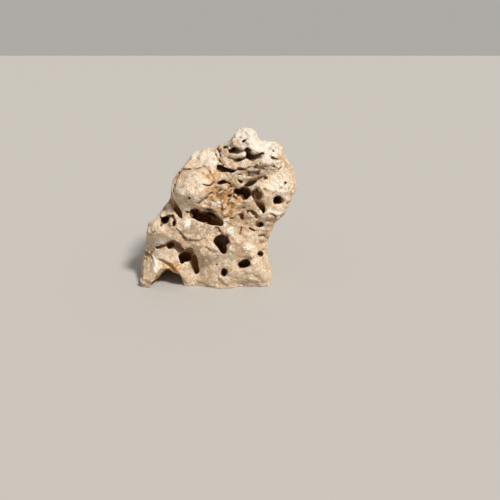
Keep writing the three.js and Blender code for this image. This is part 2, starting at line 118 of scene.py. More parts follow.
# Hollows in the face: name, depth, drift of the inner end [x, z], outline of the mouth [x, z].
FACE_HOLLOWS = (
    ("window", 60, (8, 8), (
        (-104, 154), (-102, 159), (-99, 162), (-94, 164), (-88, 163), (-87, 159), (-89, 154), (-91, 150),
        (-97, 148), (-102, 149),
    )),
    ("window slit", 40, (2, 6), (
        (-81, 154), (-78, 157), (-75, 155), (-75, 149), (-77, 144), (-80, 142), (-83, 144), (-82, 149),
    )),
    ("window arch", 14, (0, 3), (
        (-100, 161), (-93, 165), (-85, 167), (-78, 168), (-76, 166), (-77, 162), (-75, 157), (-75, 154),
        (-78, 154), (-81, 156), (-83, 160), (-88, 161), (-94, 162),
    )),
    ("left cleft", 26, (0, 4), (
        (-81, 213), (-78, 203), (-74, 195), (-70, 190), (-67, 183), (-64, 176), (-62, 167), (-62, 160),
        (-67, 162), (-72, 170), (-75, 176), (-80, 183), (-84, 190), (-85, 200),
    )),
    ("dot", 16, (0, 1), ((-55, 174), (-52, 175.5), (-49, 174), (-49, 171.5), (-53, 171))),
    ("arch band", 15, (3, 3), (
        (-119, 99), (-113, 100), (-106, 103), (-99, 105), (-96, 109), (-91, 112), (-86, 114), (-80, 114),
        (-74, 111), (-69, 106), (-65, 100), (-63, 93), (-64, 87), (-68, 84), (-72, 86), (-76, 90),
        (-80, 96), (-83, 99), (-86, 97), (-89, 96), (-93, 95), (-95, 99), (-99, 101), (-103, 99),
        (-107, 97), (-112, 96), (-117, 96),
    )),
    ("arch shadow", 26, (2, 3), (
        (-95, 103), (-91, 108), (-87, 110), (-83, 107), (-81, 102), (-83, 99), (-88, 97), (-92, 95),
        (-94, 99),
    )),
    ("eye", 44, (3, 1), (
        (-74, 80), (-70, 83), (-65, 86), (-60, 90), (-54, 89), (-49, 83), (-48, 76), (-51, 70), (-56, 67),
        (-62, 66), (-65, 62), (-69, 62), (-71, 64), (-71, 69), (-73, 73),
    )),
    ("finger", 24, (2, 2), (
        (-62, 90), (-59, 95), (-54, 98), (-47, 97), (-42, 90), (-38, 81), (-36, 70), (-34, 57), (-32, 47),
        (-34, 41), (-39, 37), (-43, 42), (-46, 52), (-49, 65), (-50, 75), (-49, 82), (-54, 87),
    )),
    ("left notch", 12, (2, 2), (
        (-143, 91), (-138, 90), (-134, 86), (-130, 81), (-126, 72), (-130, 72), (-136, 76), (-144, 83),
    )),
    ("toe arch", 46, (4, 3), (
        (-131, 21), (-123, 25), (-114, 32), (-110, 40), (-104, 47), (-98, 50), (-91, 47), (-87, 41),
        (-80, 40), (-73, 38), (-71, 31), (-68, 21), (-66, 3), (-68, -15), (-139, -15),
    )),
    ("throat slot", 22, (2, 4), (
        (8, 231), (12, 235), (17, 238), (21, 238.5), (25, 236), (25, 232), (20, 231.5), (14, 230),
    )),
    ("seam slot", 40, (4, 8), (
        (7, 268), (10, 269), (18, 268), (27, 262), (36, 258), (42, 258), (45, 256), (38, 251), (34, 252),
        (30, 255), (20, 254), (10, 257), (8, 262),
    )),
    ("crown pit", 9, (0, 2), (
        (21, 301), (24, 304), (27, 304), (31, 304), (30, 302), (27, 300), (23, 299),
    )),
    ("cap nick", 12, (0, 1), (
        (55, 308), (56, 311), (60, 313), (64, 315), (63, 313), (60, 311), (57, 308),
    )),
    ("cap hollow left", 22, (2, 1), (
        (32, 294), (34, 296), (38, 299), (42, 301), (47, 300), (52, 298), (57, 294), (59, 294), (58, 292),
        (53, 293), (49, 290), (45, 290), (39, 291), (33, 292),
    )),
    ("cap hollow", 24, (2, 4), (
        (60, 293), (61, 297), (64, 300), (68, 300), (72, 297), (70, 293), (68, 292), (65, 293),
    )),
    ("cap cave", 40, (-4, 4), (
        (63, 285), (65, 290), (65, 293), (68, 293), (70, 290), (74, 288), (80, 287), (85, 288), (90, 289),
        (95, 291), (97, 289), (93, 285), (92, 281), (88, 281), (84, 278), (80, 276), (75, 275), (69, 277),
        (65, 281),
    )),
    ("cap low hollow", 16, (2, -1), (
        (39, 276), (41, 279), (46, 279), (51, 280), (55, 280), (59, 282), (62, 283), (61, 279), (56, 278),
        (51, 276), (49, 274), (44, 272), (41, 273),
    )),
    ("ear crease", 12, (0, 2), (
        (107, 290), (108, 292), (111, 293), (113, 291), (112, 288), (111, 286), (113, 283), (117, 281),
        (122, 277), (121, 276), (116, 277), (111, 281), (109, 285), (110, 288),
    )),
    ("brow slot", 34, (0, -6), (
        (60, 225), (62, 229), (65, 232), (69, 234), (74, 235), (79, 236), (85, 238), (83, 235), (79, 231),
        (74, 227), (69, 226), (63, 226),
    )),
    ("throat pit", 16, (0, 2), (
        (47, 242), (49, 242), (51, 238), (54, 237), (56, 235), (55, 233), (51, 233), (49, 235), (48, 239),
    )),
    ("brow nick", 9, (0, 1), ((97, 242), (101, 244), (105, 243), (104, 241), (99, 240))),
    ("cheek nick", 10, (0, 1), ((137, 230), (139, 234), (143, 235), (142, 233), (139, 230))),
    ("twin", 54, (-2, 0), (
        (41, 220), (47, 221), (53, 219), (54, 223), (60, 224), (67, 223), (72, 217), (73, 209), (71, 203),
        (66, 199), (58, 199), (54, 203), (54, 207), (49, 207), (43, 212), (41, 216),
    )),
    ("third eye", 22, (2, 0), (
        (75, 212), (78, 217), (82, 220), (85, 222), (87, 218), (92, 215), (94, 211), (94, 206), (93, 201),
        (89, 199), (85, 199), (84, 200), (83, 205), (82, 211), (81, 213), (79, 212), (78, 209), (78, 204),
        (79, 201), (77, 202), (75, 207),
    )),
    ("third eye slit", 14, (2, 3), ((75, 215), (77, 215), (78, 208), (79, 204), (77, 204), (74, 209))),
    ("wink", 20, (3, -2), (
        (78, 199), (81, 200), (86, 199), (90, 198), (95, 196), (98, 191), (100, 185), (101, 176),
        (99, 172), (97, 171), (95, 176), (91, 181), (87, 185), (84, 190), (80, 194),
    )),
    ("sill hole", 11, (0, -1), (
        (83, 151), (84, 153), (87, 155), (88, 152), (92, 153), (96, 152), (98, 150), (98, 146), (94, 143),
        (88, 142), (85, 144), (83, 147),
    )),
    ("bung hole", 56, (-6, 2), (
        (117, 198), (117, 202), (120, 205), (125, 207), (129, 206), (133, 203), (136, 199), (136, 196),
        (133, 193), (128, 191), (123, 190), (119, 190), (117, 194),
    )),
    ("edge notch", 12, (-3, 2), ((143, 192), (146, 195), (150, 197), (149, 193), (146, 189), (144, 189))),
    ("furrow", 15, (0, -5), (
        (105, 252), (102, 251), (97, 251), (92, 250), (85, 249), (80, 247), (75, 243), (70, 239),
        (66, 234), (74, 235), (78, 236), (83, 239), (88, 241), (93, 243), (98, 246), (103, 250),
    )),
    ("small arch", 8, (0, 1), (
        (66, 171), (67, 175), (70, 177), (74, 178), (77, 176), (79, 174), (83, 172), (86, 170), (87, 167),
        (86, 164), (84, 160), (82, 163), (83, 166), (80, 168), (77, 168), (75, 170), (74, 173), (70, 175),
        (68, 173), (67, 170),
    )),
    ("cave", 72, (-9, -3), (
        (-47, 172), (-45, 179), (-38, 181), (-26, 178), (-15, 176), (-5, 173), (4, 168), (13, 161),
        (18, 152), (18, 146), (11, 145), (2, 146), (-8, 148), (-17, 151), (-27, 154), (-39, 158),
        (-46, 163),
    )),
    ("pear hole", 62, (-6, -2), (
        (-2, 111), (0, 116), (4, 120), (9, 124), (15, 126), (22, 123), (27, 120), (30, 114), (31, 108),
        (24, 105), (23, 99), (24, 92), (22, 86), (19, 84), (14, 87), (7, 97), (3, 103), (0, 107),
    )),
    ("waist slit", 9, (0, 1), ((69, 141), (74, 139), (80, 136), (81, 133), (75, 135), (70, 138))),
    ("ochre slit", 12, (0, 1), (
        (26, 204), (29, 207), (34, 209), (39, 213), (41, 217), (40, 212), (37, 208), (33, 206),
    )),
    ("ochre pit", 10, (0, 1), ((32, 163), (36, 165), (39, 163), (39, 160), (36, 160), (33, 160))),
    ("ochre pit right", 10, (0, 1), ((51, 167), (54, 169), (57, 167), (58, 161), (54, 158), (51, 162))),
    ("left edge hole", 16, (4, 2), (
        (-81, 224), (-79, 230), (-77, 234), (-76, 228), (-77, 223), (-75, 218), (-76, 214), (-79, 213),
        (-81, 215),
    )),
)

# Hollows with a sloping floor: the way in which it runs deeper, [x, z], and the least share of the depth.
RAMPS = {
    "finger": ((1, 0.2), 0.35), "left notch": ((-0.3, 1), 0.15), "arch band": ((0.3, 1), 0.7),
    "cave": ((-1, 0.2), 0.45), "pear hole": ((-0.6, -1), 0.5), "wink": ((0.3, -1), 0.5),
    "cap low hollow": ((0, 1), 0.4), "window arch": ((0, 1), 0.3), "left cleft": ((0.5, -1), 0.3),
    "furrow": ((0.2, -1), 0.5), "bung hole": ((-1, 0.2), 0.25), "ear crease": ((-0.6, 1), 0.15),
    "cap hollow left": ((-1, -0.3), 0.5), "cap cave": ((-1, 0), 0.5), "third eye": ((0.2, 1), 0.5),
}
LEVEL = ((0, 0), 1)  # for a hollow whose floor doesn't slope

# Plain round burrows in the face: mouth [x, z], half width, half height, roll clockwise, depth.
FACE_BURROWS = (
    ((-104, 146), 2.4, 3.2, 20, 10), ((60, 62), 15, 10, -18, 50), ((18, 42), 7.5, 9, 10, 36),
    ((92, 84), 7, 7, 0, 30), ((79, 263), 2.2, 1.8, 0, 8), ((134, 197), 3.4, 3.8, 0, 10),
    ((53, 235), 3.6, 2.6, 20, 12), ((-46, 203), 2.2, 1.8, 0, 4), ((30, 198), 2.2, 1.6, 0, 6),
    ((115, 294), 1.8, 1.8, 0, 5),
)

# Where the back's larger burrows are worn wider: name, path [x, y, z], half sizes at its ends, roll.
BACK_BURROWS = (
    ("toe arch", ((11, 98, 4), (14, 58, 10)), ((27, 54), (14, 26)), 6),
    ("cave", ((60, 112, 134), (52, 58, 124)), ((17, 13), (10, 8)), -24),
    ("cave floor", ((36, 112, 110), (44, 66, 118)), ((13, 9), (8, 6)), 18),
)

# Lines on the face that more than one mark follows, [x, z].
SHELF_LIP = (
    (-76, 139), (-67, 133), (-59, 121), (-54, 117), (-43, 115), (-33, 113), (-26, 117), (-13, 124),
)
TOE_LIP = ((-124, 74), (-112, 73), (-105, 71), (-97, 66), (-89, 61), (-84, 54), (-78, 47), (-71, 36))
BAND_MIDDLE = ((56, 260), (71, 254), (85, 256), (99, 261), (113, 258), (126, 254))
SHOULDER = ((-114, 140), (-118, 133), (-125, 125), (-132, 123))

# Thin cracks in the face: name, half width, the points they pass [x, z].
FACE_CRACKS = (
    ("bulb seam", 0.9, ((-60, 259), (-46, 260), (-30, 260), (-19, 264))),
    ("bulb diagonal", 0.9, ((-25, 274), (-12, 262), (-6, 256), (-2, 250), (1, 242), (4, 232))),
    ("bulb diagonal low", 0.9, ((-22, 255), (-14, 247), (-7, 242), (-1, 236))),
    ("bulb shell", 1.8, ((-33, 193), (-26, 195), (-18, 200), (-11, 206), (-3, 215))),
    ("bulb edge", 1.2, ((-58, 259), (-66, 246), (-72, 229), (-74, 223))),
    ("bulb slot", 1.5, ((-19, 230), (-13, 228), (-7, 227), (-2, 230), (2, 234))),
    ("layer slit", 1.4, ((11, 300), (14, 292), (19, 283))),
    ("layer slit left", 1.2, ((7, 289), (10, 282), (17, 273))),
    ("layer left", 0.8, ((0, 281), (6, 275), (14, 271), (23, 267))),
    ("layer right", 0.8, ((17, 294), (21, 287), (29, 282), (39, 280))),
    ("band middle", 0.7, BAND_MIDDLE),
    ("band low", 0.7, ((48, 250), (59, 249), (73, 247), (89, 252))),
    ("jagged lip", 0.8, ((83, 267), (91, 264), (97, 267), (108, 264), (114, 266), (125, 261))),
    ("cheek crack", 1.4, ((114, 210), (119, 214), (125, 218), (132, 224))),
    ("band upper", 0.8, ((44, 258), (53, 259), (61, 259), (70, 258), (78, 261), (85, 263), (96, 263))),
    ("band dark", 1.1, ((49, 261), (56, 261), (65, 258))),
    ("band right", 0.9, ((108, 251), (116, 252), (122, 250), (129, 248))),
    ("right diagonal", 0.8, ((125, 259), (129, 263), (133, 265))),
    ("right diagonal low", 0.8, ((125, 242), (130, 247), (136, 253))),
    ("ochre slant", 0.9, ((14, 215), (21, 220), (29, 224))),
    ("ochre slant low", 0.8, ((13, 195), (20, 201), (26, 204))),
    ("ochre roof", 1.0, ((26, 235), (33, 232))),
    ("ochre sill", 1.0, ((7, 182), (16, 180))),
    ("ochre foot", 1.3, ((25, 171), (31, 176), (34, 182))),
    ("ochre branch", 1.1, ((39, 207), (42, 204), (45, 201))),
    ("ochre crumbs", 0.9, ((16, 166), (22, 168))),
    ("cave tail", 1.6, ((3, 142), (8, 141), (12, 134))),
    ("waist upper", 0.9, ((52, 141), (60, 148), (66, 149))),
    ("waist upright", 0.8, ((51, 127), (54, 138), (54, 146))),
    ("waist slant", 0.9, ((2, 140), (13, 130), (24, 121))),
    ("waist low", 0.8, ((24, 127), (32, 118), (42, 116), (49, 119))),
    ("ring top", 1.4, ((86, 124), (89, 125), (92, 122), (95, 126), (99, 125), (102, 121), (106, 118))),
    ("shelf edge", 1.0, SHELF_LIP[:4]),
    ("shelf edge low", 0.7, ((-43, 116), (-33, 113), (-26, 117), (-20, 120))),
    ("shoulder crack", 0.8, SHOULDER),
    ("toe lip", 0.8, TOE_LIP[1:6]),
    ("brim crack", 0.7, ((28, 301), (34, 294), (37, 289))),
)

# Edges below or beside which the face breaks back: name, depth, reach, height of the lip, points [x, z].
# The stone to the right of the line's way lies deeper and comes back over the reach.
FACE_LEDGES = (
    ("bulb shell", 6.5, 10, 1.4, ((-36, 192), (-28, 194), (-20, 198), (-12, 205), (-5, 212), (-1, 219))),
    ("bulb seam", 3.6, 7, 1.2, ((-60, 259), (-46, 260), (-30, 261), (-19, 264))),
    ("shelf", 7, 14, 1.4, SHELF_LIP),
    ("pillar foot", 3.2, 5, 1, ((-70, 131), (-53, 135), (-45, 145), (-44, 152), (-46, 159))),
    ("toe lip", 11, 20, 2, TOE_LIP),
    ("toe side", 2, 10, 0, ((-124, 80), (-126, 72), (-122, 60), (-125, 50))),
    ("cap brim", 4.5, 9, 1.8, (
        (29, 297), (39, 303), (53, 301), (60, 298), (66, 302), (74, 296), (78, 291), (86, 291), (94, 292),
    )),
    ("layer 1", 3.4, 5, 1, ((11, 303), (15, 291), (19, 282), (25, 275), (32, 271))),
    ("layer 2", 3, 5, 0.9, ((14, 306), (19, 294), (24, 287), (31, 282), (40, 280))),
    ("layer 3", 3.2, 5, 1, ((5, 294), (9, 286), (13, 277), (22, 270), (30, 266))),
    ("layer 4", 2.6, 5, 0.8, ((0, 293), (4, 282), (8, 275))),
    ("band top", 2.4, 5, 1.4, (
        (46, 265), (56, 262), (68, 264), (82, 266), (95, 265), (109, 263), (123, 260),
    )),
    ("band middle", 2.2, 4, 1.2, BAND_MIDDLE),
    ("band low", 2, 4, 1.2, ((42, 252), (59, 249), (73, 247), (89, 252), (102, 257), (116, 256))),
    ("furrow", 5, 12, 2.4, (
        (114, 254), (104, 250), (96, 246), (89, 242), (80, 237), (71, 232), (60, 226),
    )),
    ("jagged lip", 3.4, 5, 2, (
        (80, 270), (88, 268), (91, 265), (102, 270), (107, 266), (111, 265), (116, 268), (125, 262),
        (135, 267),
    )),
    ("under cheek", 7, 16, 3, (
        (98, 170), (107, 171), (113, 172), (119, 169), (126, 165), (138, 172), (143, 175),
    )),
    ("cave roof", 5, 6, 1.8, (
        (-26, 183), (-14, 182), (-3, 180), (5, 174), (11, 167), (16, 159), (20, 148),
    )),
    ("ochre layer 1", 3, 5, 1, ((4, 210), (14, 219), (26, 225), (39, 231))),
    ("ochre layer 2", 3, 5, 1, ((10, 200), (19, 206), (33, 216), (42, 223))),
    ("ochre layer 3", 3, 6, 1, ((21, 165), (28, 175), (39, 184), (48, 192))),
)

# Grooves, and with a negative depth ridges: name, depth, width, points [x, z].
FACE_GROOVES = (
    ("bulb side", 2.4, 2.4, ((-66, 256), (-69, 246), (-72, 235), (-75, 224))),
    ("bulb diagonal", 2.4, 2.0, ((-20, 268), (-12, 260), (-5, 252), (1, 247), (4, 236))),
    ("bulb diagonal low", 1.6, 1.8, ((-24, 255), (-15, 249), (-7, 246), (-1, 239))),
    ("bulb fold", 1.4, 2.2, ((-52, 209), (-48, 204), (-42, 199), (-34, 195))),
    ("shelf fold", 1.8, 2.2, ((-72, 126), (-66, 128), (-59, 119))),
    ("toe ridge", -2.6, 3.4, ((-125, 76), (-122, 66), (-121, 59), (-124, 50), (-121, 40))),
    ("cheek foot", -6, 5, ((98, 157), (110, 159), (122, 161))),
    ("shoulder", 2.2, 1.6, SHOULDER),
    ("cap sill", -1.2, 1.8, ((31, 288), (41, 287), (51, 288), (58, 286), (62, 283))),
    ("cheek top", 3, 2.2, ((106, 252), (120, 253), (133, 249), (138, 253))),
    ("cheek slant", 2.4, 1.7, ((133, 225), (126, 219), (119, 212))),
    ("rib", -2.4, 2, ((11, 213), (19, 218), (30, 223))),
    ("rib low", -2.4, 2, ((21, 213), (29, 217), (39, 222))),
    ("waist upright", 2.6, 1.8, ((52, 152), (55, 145), (54, 137), (51, 127))),
    ("waist upper", 2, 1.6, ((59, 146), (63, 149), (66, 146))),
    ("waist low", 2, 2, ((24, 127), (32, 118), (38, 114))),
    ("waist slant", 2, 2.2, ((2, 140), (13, 130), (24, 122))),
    ("waist ring", 4.5, 1.8, (
        (90, 120), (94, 124), (101, 123), (105, 118), (104, 111), (98, 108), (92, 110), (89, 115),
        (90, 120),
    )),
    ("third eye rim", -3, 2, ((92, 222), (98, 214), (100, 205), (98, 198))),
)

# Knobs on the face: middle [x, z], half width, half height, how far they stand out.
FACE_KNOBS = (
    (-38, 224, 36, 36, 4), (112, 158, 26, 14, 8), (-53, 152, 8, 13, 3.4), (-85, 150, 3, 6, 4),
    (-112, 106, 12, 8, 2), (74, 308, 12, 8, 6), (80, 208, 2.6, 6, 3), (97, 116, 6.5, 5.5, 4),
    (30, 196, 6, 5, 4), (34, 200, 3, 3, 2),
)

# Small round knobs on the crumbly parts of the face: middle [x, z], half width, how far they stand out.
FACE_CRUMBS = (
    (100, 300, 10, 3), (88, 300, 9, 3), (122, 300, 9, 3.2), (111, 275, 8, 3.4), (92, 272, 8, 3.4),
    (126, 268, 10, 3.2), (84, 296, 7, 2.4), (102, 276, 6, 2.6), (58, 330, 12, 2.4), (30, 299, 6, 2),
    (2, 274, 5, 2.6), (-19, 284, 8, 2.6), (-36, 286, 8, 2), (5, 197, 6, 3.4), (12, 189, 5, 3),
    (-24, 219, 6, 1.6), (48, 184, 8, 2.6), (62, 190, 7, 2.4), (44, 172, 7, 2.2), (72, 158, 9, 2.8),
    (27, 168, 5, 2.4), (36, 133, 9, 3), (66, 128, 10, 2.4), (14, 222, 6, 2), (30, 222, 6, 1.8),
    (104, 177, 8, 2.6), (126, 182, 8, 2.6), (70, 99, 10, 2.4), (45, 110, 10, 2.4), (148, 232, 9, 2.4),
    (144, 262, 9, 2.4), (60, 242, 6, 2.6), (20, 244, 6, 2.4), (36, 245, 5, 2.2), (95, 275, 6, 3),
    (119, 288, 9, 3.4), (36, 286, 5, 2.6), (47, 286, 5, 2.6), (57, 287, 4, 2.4), (128, 258, 7, 2.4),
    (74, 300, 6, 2.4), (84, 299, 5, 2.2), (96, 304, 6, 2.4), (46, 322, 7, 2), (74, 328, 8, 2),
    (-14, 222, 5, 1.6), (-40, 216, 6, 1.4), (-56, 228, 6, 1.6), (-46, 244, 6, 1.4), (-28, 240, 7, 1.6),
    (-60, 208, 5, 1.6), (52, 226, 5, 2.4), (45, 192, 6, 2.4),
)

# Thin worn layers on the face: middle [x, z], half width, half height, slope in degrees, period, height.
FACE_LAYERS = (
    (22, 285, 26, 22, -58, 4.2, 2.6), (86, 255, 54, 12, 8, 4.4, 2.2), (24, 202, 36, 32, 36, 4.8, 2.4),
    (84, 284, 44, 20, 8, 6.0, 1.8), (40, 176, 26, 16, 30, 5.2, 2.0), (60, 150, 34, 24, 14, 6.0, 1.6),
)

# How rough parts of the face are, from 0 to 1: middle [x, z], half width, half height, roughness.
FACE_ROUGHNESS = (
    (-38, 222, 34, 32, 0.36), (-30, 138, 54, 20, 0.25), (-88, 88, 36, 16, 0.3), (-98, 128, 26, 18, 0.4),
    (-52, 58, 22, 34, 0.2), (-100, 56, 20, 20, 0.3), (124, 216, 24, 42, 0.4), (120, 182, 20, 10, 0.3),
    (30, 188, 44, 40, 1.0), (60, 262, 50, 22, 0.85), (92, 290, 40, 22, 0.85), (-10, 282, 34, 14, 0.7),
    (66, 322, 26, 18, 0.95), (116, 296, 26, 26, 0.95), (140, 250, 26, 34, 0.8), (70, 118, 26, 24, 0.6),
    (105, 152, 20, 14, 0.25),
)

# Where the face is tinted: middle [x, z], half width, half height, strength. The ochre is iron stain, the
# bleach is bleached crust with painted highlights, the grey is painted shade on faces turned from the
# light, the dull a tan.
FACE_TINTS = {
    "ochre": (
        (22, 200, 42, 36, 0.74), (12, 214, 24, 14, 0.8), (-8, 219, 10, 6, 1.0), (33, 230, 12, 5, 0.9),
        (2, 242, 12, 12, 0.6), (29, 170, 8, 8, 1.0), (6, 206, 5, 4, 1.0), (60, 160, 20, 22, 0.35),
        # The mark at (-90, 52) under the toe's lip is painted warm shade with bounced light, laid on as
        # ochre.
        (-90, 52, 20, 16, 1.0), (-116, 30, 12, 7, 0.9), (118, 243, 20, 6, 0.5), (104, 237, 10, 6, 0.6),
        (-70, 238, 4, 20, 1.0), (-26, 71, 5, 5, 0.9), (-86, 148, 3, 8, 1.0), (78, 268, 8, 5, 0.8),
        (48, 262, 12, 6, 0.4), (68, 306, 9, 5, 0.5), (88, 296, 6, 5, 0.5), (9, 250, 9, 9, 0.7),
        (-7, 246, 10, 6, 0.8), (-48, 203, 5, 4, 0.5), (54, 192, 10, 8, 0.6), (130, 244, 8, 5, 0.7),
        (-78, 122, 30, 12, 0.25), (-74, 98, 9, 14, 0.5), (-40, 70, 7, 28, 0.35), (-136, 82, 8, 8, 0.5),
    ),
    "bleach_and_highlight": (
        (90, 297, 46, 24, 1.0), (64, 325, 26, 18, 0.95), (130, 228, 24, 36, 0.7), (-14, 284, 36, 16, 0.7),
        (-38, 222, 30, 28, 0.55), (-60, 216, 7, 9, 1.0), (-24, 221, 6, 5, 1.0), (-32, 198, 8, 5, 1.0),
        (6, 193, 10, 8, 1.0), (-53, 150, 8, 13, 1.0), (-109, 110, 11, 6.6, 1.0), (-122, 60, 5.5, 22, 1.0),
        (111, 271, 22, 11, 0.8), (24, 308, 12, 6.6, 0.9), (110, 173, 24, 7.7, 0.8),
        (126, 180, 14, 12, 0.6), (4, 274, 6.6, 5.5, 1.0), (34, 133, 9.9, 9.9, 0.95),
        (70, 99, 12, 8.8, 0.9), (-120, 165, 12, 12, 0.7), (-95, 190, 12, 11, 0.6),
        (95, 284, 11, 6.6, 0.8), (85, 258, 22, 2.6, 0.6), (-55, 184, 8.8, 8.8, 0.7),
        (62, 190, 6.6, 4.4, 0.8), (50, 288, 12, 3.3, 0.9), (46, 256, 11, 4.4, 0.5),
        (108, 231, 14, 11, 0.6), (-140, 130, 8.8, 20, 0.5), (76, 240, 4.4, 4.4, 0.7),
        (66, 224, 8, 2.6, 1.0), (78, 229, 7, 3, 1.0), (45, 120, 16, 11, 0.4), (21, 148, 4.4, 6.6, 0.9),
        (-2, 183, 5.5, 3.3, 0.9), (-14, 195, 8.8, 3.3, 0.8), (52, 226, 6.6, 4.4, 0.8),
        (55, 242, 5.5, 4.4, 0.8), (12, 189, 5.5, 5.5, 0.8), (-66, 232, 8.8, 11, 0.7),
        (-100, 112, 11, 5.5, 0.7), (-108, 84, 26, 16, 0.5), (-124, 112, 12, 22, 0.45),
    ),
    "grey_shade": (
        (92, 250, 30, 7, 1.0), (70, 255, 30, 8, 1.0), (84, 243, 22, 8, 1.0), (72, 231, 14, 5, 0.8),
        (66, 243, 14, 7, 0.6), (22, 282, 13, 15, 0.7), (56, 258, 26, 6, 0.8), (100, 257, 30, 7, 0.9),
        (-20, 138, 54, 19, 0.8), (-26, 112, 30, 8, 0.5), (6, 150, 14, 12, 0.6), (106, 158, 22, 10, 0.45),
        (-58, 122, 16, 6, 0.5), (100, 262, 24, 4, 0.6), (-135, 80, 10, 9, 0.6), (8, 175, 14, 6, 0.5),
        (-95, 60, 14, 8, 0.3), (114, 262, 20, 5, 0.5),
    ),
    "dull": (
        (-24, 136, 52, 20, 1.0), (-56, 112, 24, 10, 0.7), (-52, 56, 24, 30, 0.5), (-10, 116, 16, 10, 0.7),
        (8, 152, 16, 14, 0.7), (48, 148, 26, 22, 0.7), (104, 154, 24, 14, 0.7), (40, 100, 40, 24, 0.6),
        (66, 182, 20, 14, 0.6), (20, 100, 24, 30, 0.5), (52, 240, 22, 10, 0.5), (-46, 246, 24, 8, 0.5),
        (84, 180, 12, 8, 0.6),
    ),
}

# Noises in the stone's look: width in m, detail, roughness, distortion.
STONE_NOISES = {
    "cloud": (0.05, 4.0, 0.6, 0.0),
    "patch": (0.017, 5.0, 0.65, 0.5),
    "blot": (0.008, 4.0, 0.65, 0.3),
    "fine": (0.0058, 3.0, 0.75, 0.4),
    "speck": (0.0036, 4.0, 0.7, 0.0),
    "grain": (0.0016, 5.0, 0.7, 0.0),
}

PAINTED_PORE_SPACING = 0.0062  # m
STONE_SHEEN = 0.12

# Lengths that the geometry nodes take, in m.
WEATHERING_LENGTHS = {
    "Grain Size": 0.005, "Grain Height": 0.0006, "Pore Spacing": 0.011, "Pore Depth": 0.0014,
}


def noise_field(shape, spacing, rng):
    """Smooth random lumps, `spacing` cells wide, mostly from -1 to 1."""
    spacing = np.broadcast_to(spacing, 3)
    counts = [int(n / s) + 5 for n, s in zip(shape, spacing)]
    field = rng.uniform(-1, 1, counts).astype(np.float32)
    for axis, (n, s) in enumerate(zip(shape, spacing)):
        place = np.arange(n) / s + 1
        low = place.astype(int)
        t = (place - low).astype(np.float32)
        weights = ((1 - t) ** 3, 3 * t**3 - 6 * t**2 + 4, -3 * t**3 + 3 * t**2 + 3 * t + 1, t**3)
        form = [1, 1, 1]
        form[axis] = n
        field = sum(np.take(field, low - 1 + k, axis) * w.reshape(form) / 6 for k, w in enumerate(weights))
    return field / (2 * field.std())


def blurred(field, sigma):
    """The field with each cell's neighbours mixed in, sigma in cells."""
    reach = int(math.ceil(2.5 * sigma))
    weights = np.exp(-0.5 * (np.arange(-reach, reach + 1) / sigma) ** 2)
    weights = (weights / weights.sum()).astype(np.float32)
    for axis in range(3):
        pad = [(0, 0)] * 3
        pad[axis] = (reach, reach)
        padded = np.pad(field, pad, mode="edge")
        n = field.shape[axis]
        field = sum(w * np.take(padded, range(k, k + n), axis) for k, w in enumerate(weights))
    return field


def smoothstep(value, low, high):
    """0 at low, 1 at high, smooth between, also where high is the smaller of the two."""
    t = np.clip((value - low) / (high - low), 0, 1)
    return t * t * (3 - 2 * t)


def terraces(level, rng, sharp=0.18):
    """Flat steps of random heights, one for each whole number of the level, with short slopes between."""
    heights = rng.uniform(-1, 1, BED_COUNT)
    step = np.floor(level)
    low = heights[step.astype(int) % BED_COUNT]
    high = heights[(step.astype(int) + 1) % BED_COUNT]
    return low + (high - low) * smoothstep(level - step, 0.5 - sharp, 0.5 + sharp)


def neighbours(chart, half):
    """The square of values round each value of a chart, half of its width to each side."""
    padded = np.pad(chart, half, mode="edge")
    return np.lib.stride_tricks.sliding_window_view(padded, (2 * half + 1, 2 * half + 1))


def widened(chart, half):
    """The largest value round each value of a chart."""
    return neighbours(chart, half).max((2, 3))


def face_place(points):
    """Where points in mm appear on the face plane, [x, z], seen from the eye."""
    share = (FACE_Y - EYE[1]) / (points[..., 1] - EYE[1])
    return np.stack([EYE[k] + (points[..., k] - EYE[k]) * share for k in (0, 2)], -1)


def sight(places):
    """Unit lines of sight through places on the face plane."""
    ways = np.stack([places[..., 0], np.full(places.shape[:-1], FACE_Y), places[..., 1]], -1) - EYE
    return ways / np.linalg.norm(ways, axis=-1, keepdims=True)


def rounded(outline):
    """The outline with its corners cut: each side keeps its middle three fifths."""
    points = np.asarray(outline, float)
    after = np.roll(points, -1, axis=0)
    return np.stack([0.8 * points + 0.2 * after, 0.2 * points + 0.8 * after], 1).reshape(-1, 2)


def outline_distance(outline, places):
    """Distance from places on the face plane to a closed outline, negative inside it."""
    x, z = places[..., 0], places[..., 1]
    inside = np.zeros(x.shape, bool)
    best = np.full(x.shape, 1e9)
    for (ax, az), (bx, bz) in zip(outline, np.roll(outline, -1, axis=0)):
        dx, dz = bx - ax, bz - az
        share = np.clip(((x - ax) * dx + (z - az) * dz) / (dx * dx + dz * dz + 1e-9), 0, 1)
        best = np.minimum(best, (x - ax - share * dx) ** 2 + (z - az - share * dz) ** 2)
        if dz:
            inside ^= ((az > z) != (bz > z)) & (x < ax + (z - az) * dx / dz)
    return np.where(inside, -1, 1) * np.sqrt(best)


def closed_outline():
    """The stone's whole outline, with its foot."""
    return np.array(OUTLINE + FOOT_OUTLINE, float)


def half_width(outline):
    """How far inside an outline its middle lies."""
    spots = [np.linspace(low, high, 40) for low, high in zip(outline.min(0), outline.max(0))]
    return -outline_distance(outline, np.stack(np.meshgrid(*spots, indexing="ij"), -1)).min()


def floor_depth(outline, seen, ramp, least):
    """How deep a hollow is at places on the face plane, as a share of its depth, at least `least`.

    It is deepest at the end that the ramp, [x, z], points to.
    """
    low, high = outline.min(0), outline.max(0)
    half_length = 0.5 * np.abs(high - low) @ np.abs(ramp) + 1e-9
    rise = (seen - (low + high) / 2) @ np.array(ramp, float) / half_length
    return least + (1 - least) * np.clip(0.55 + 0.65 * rise, 0, 1)


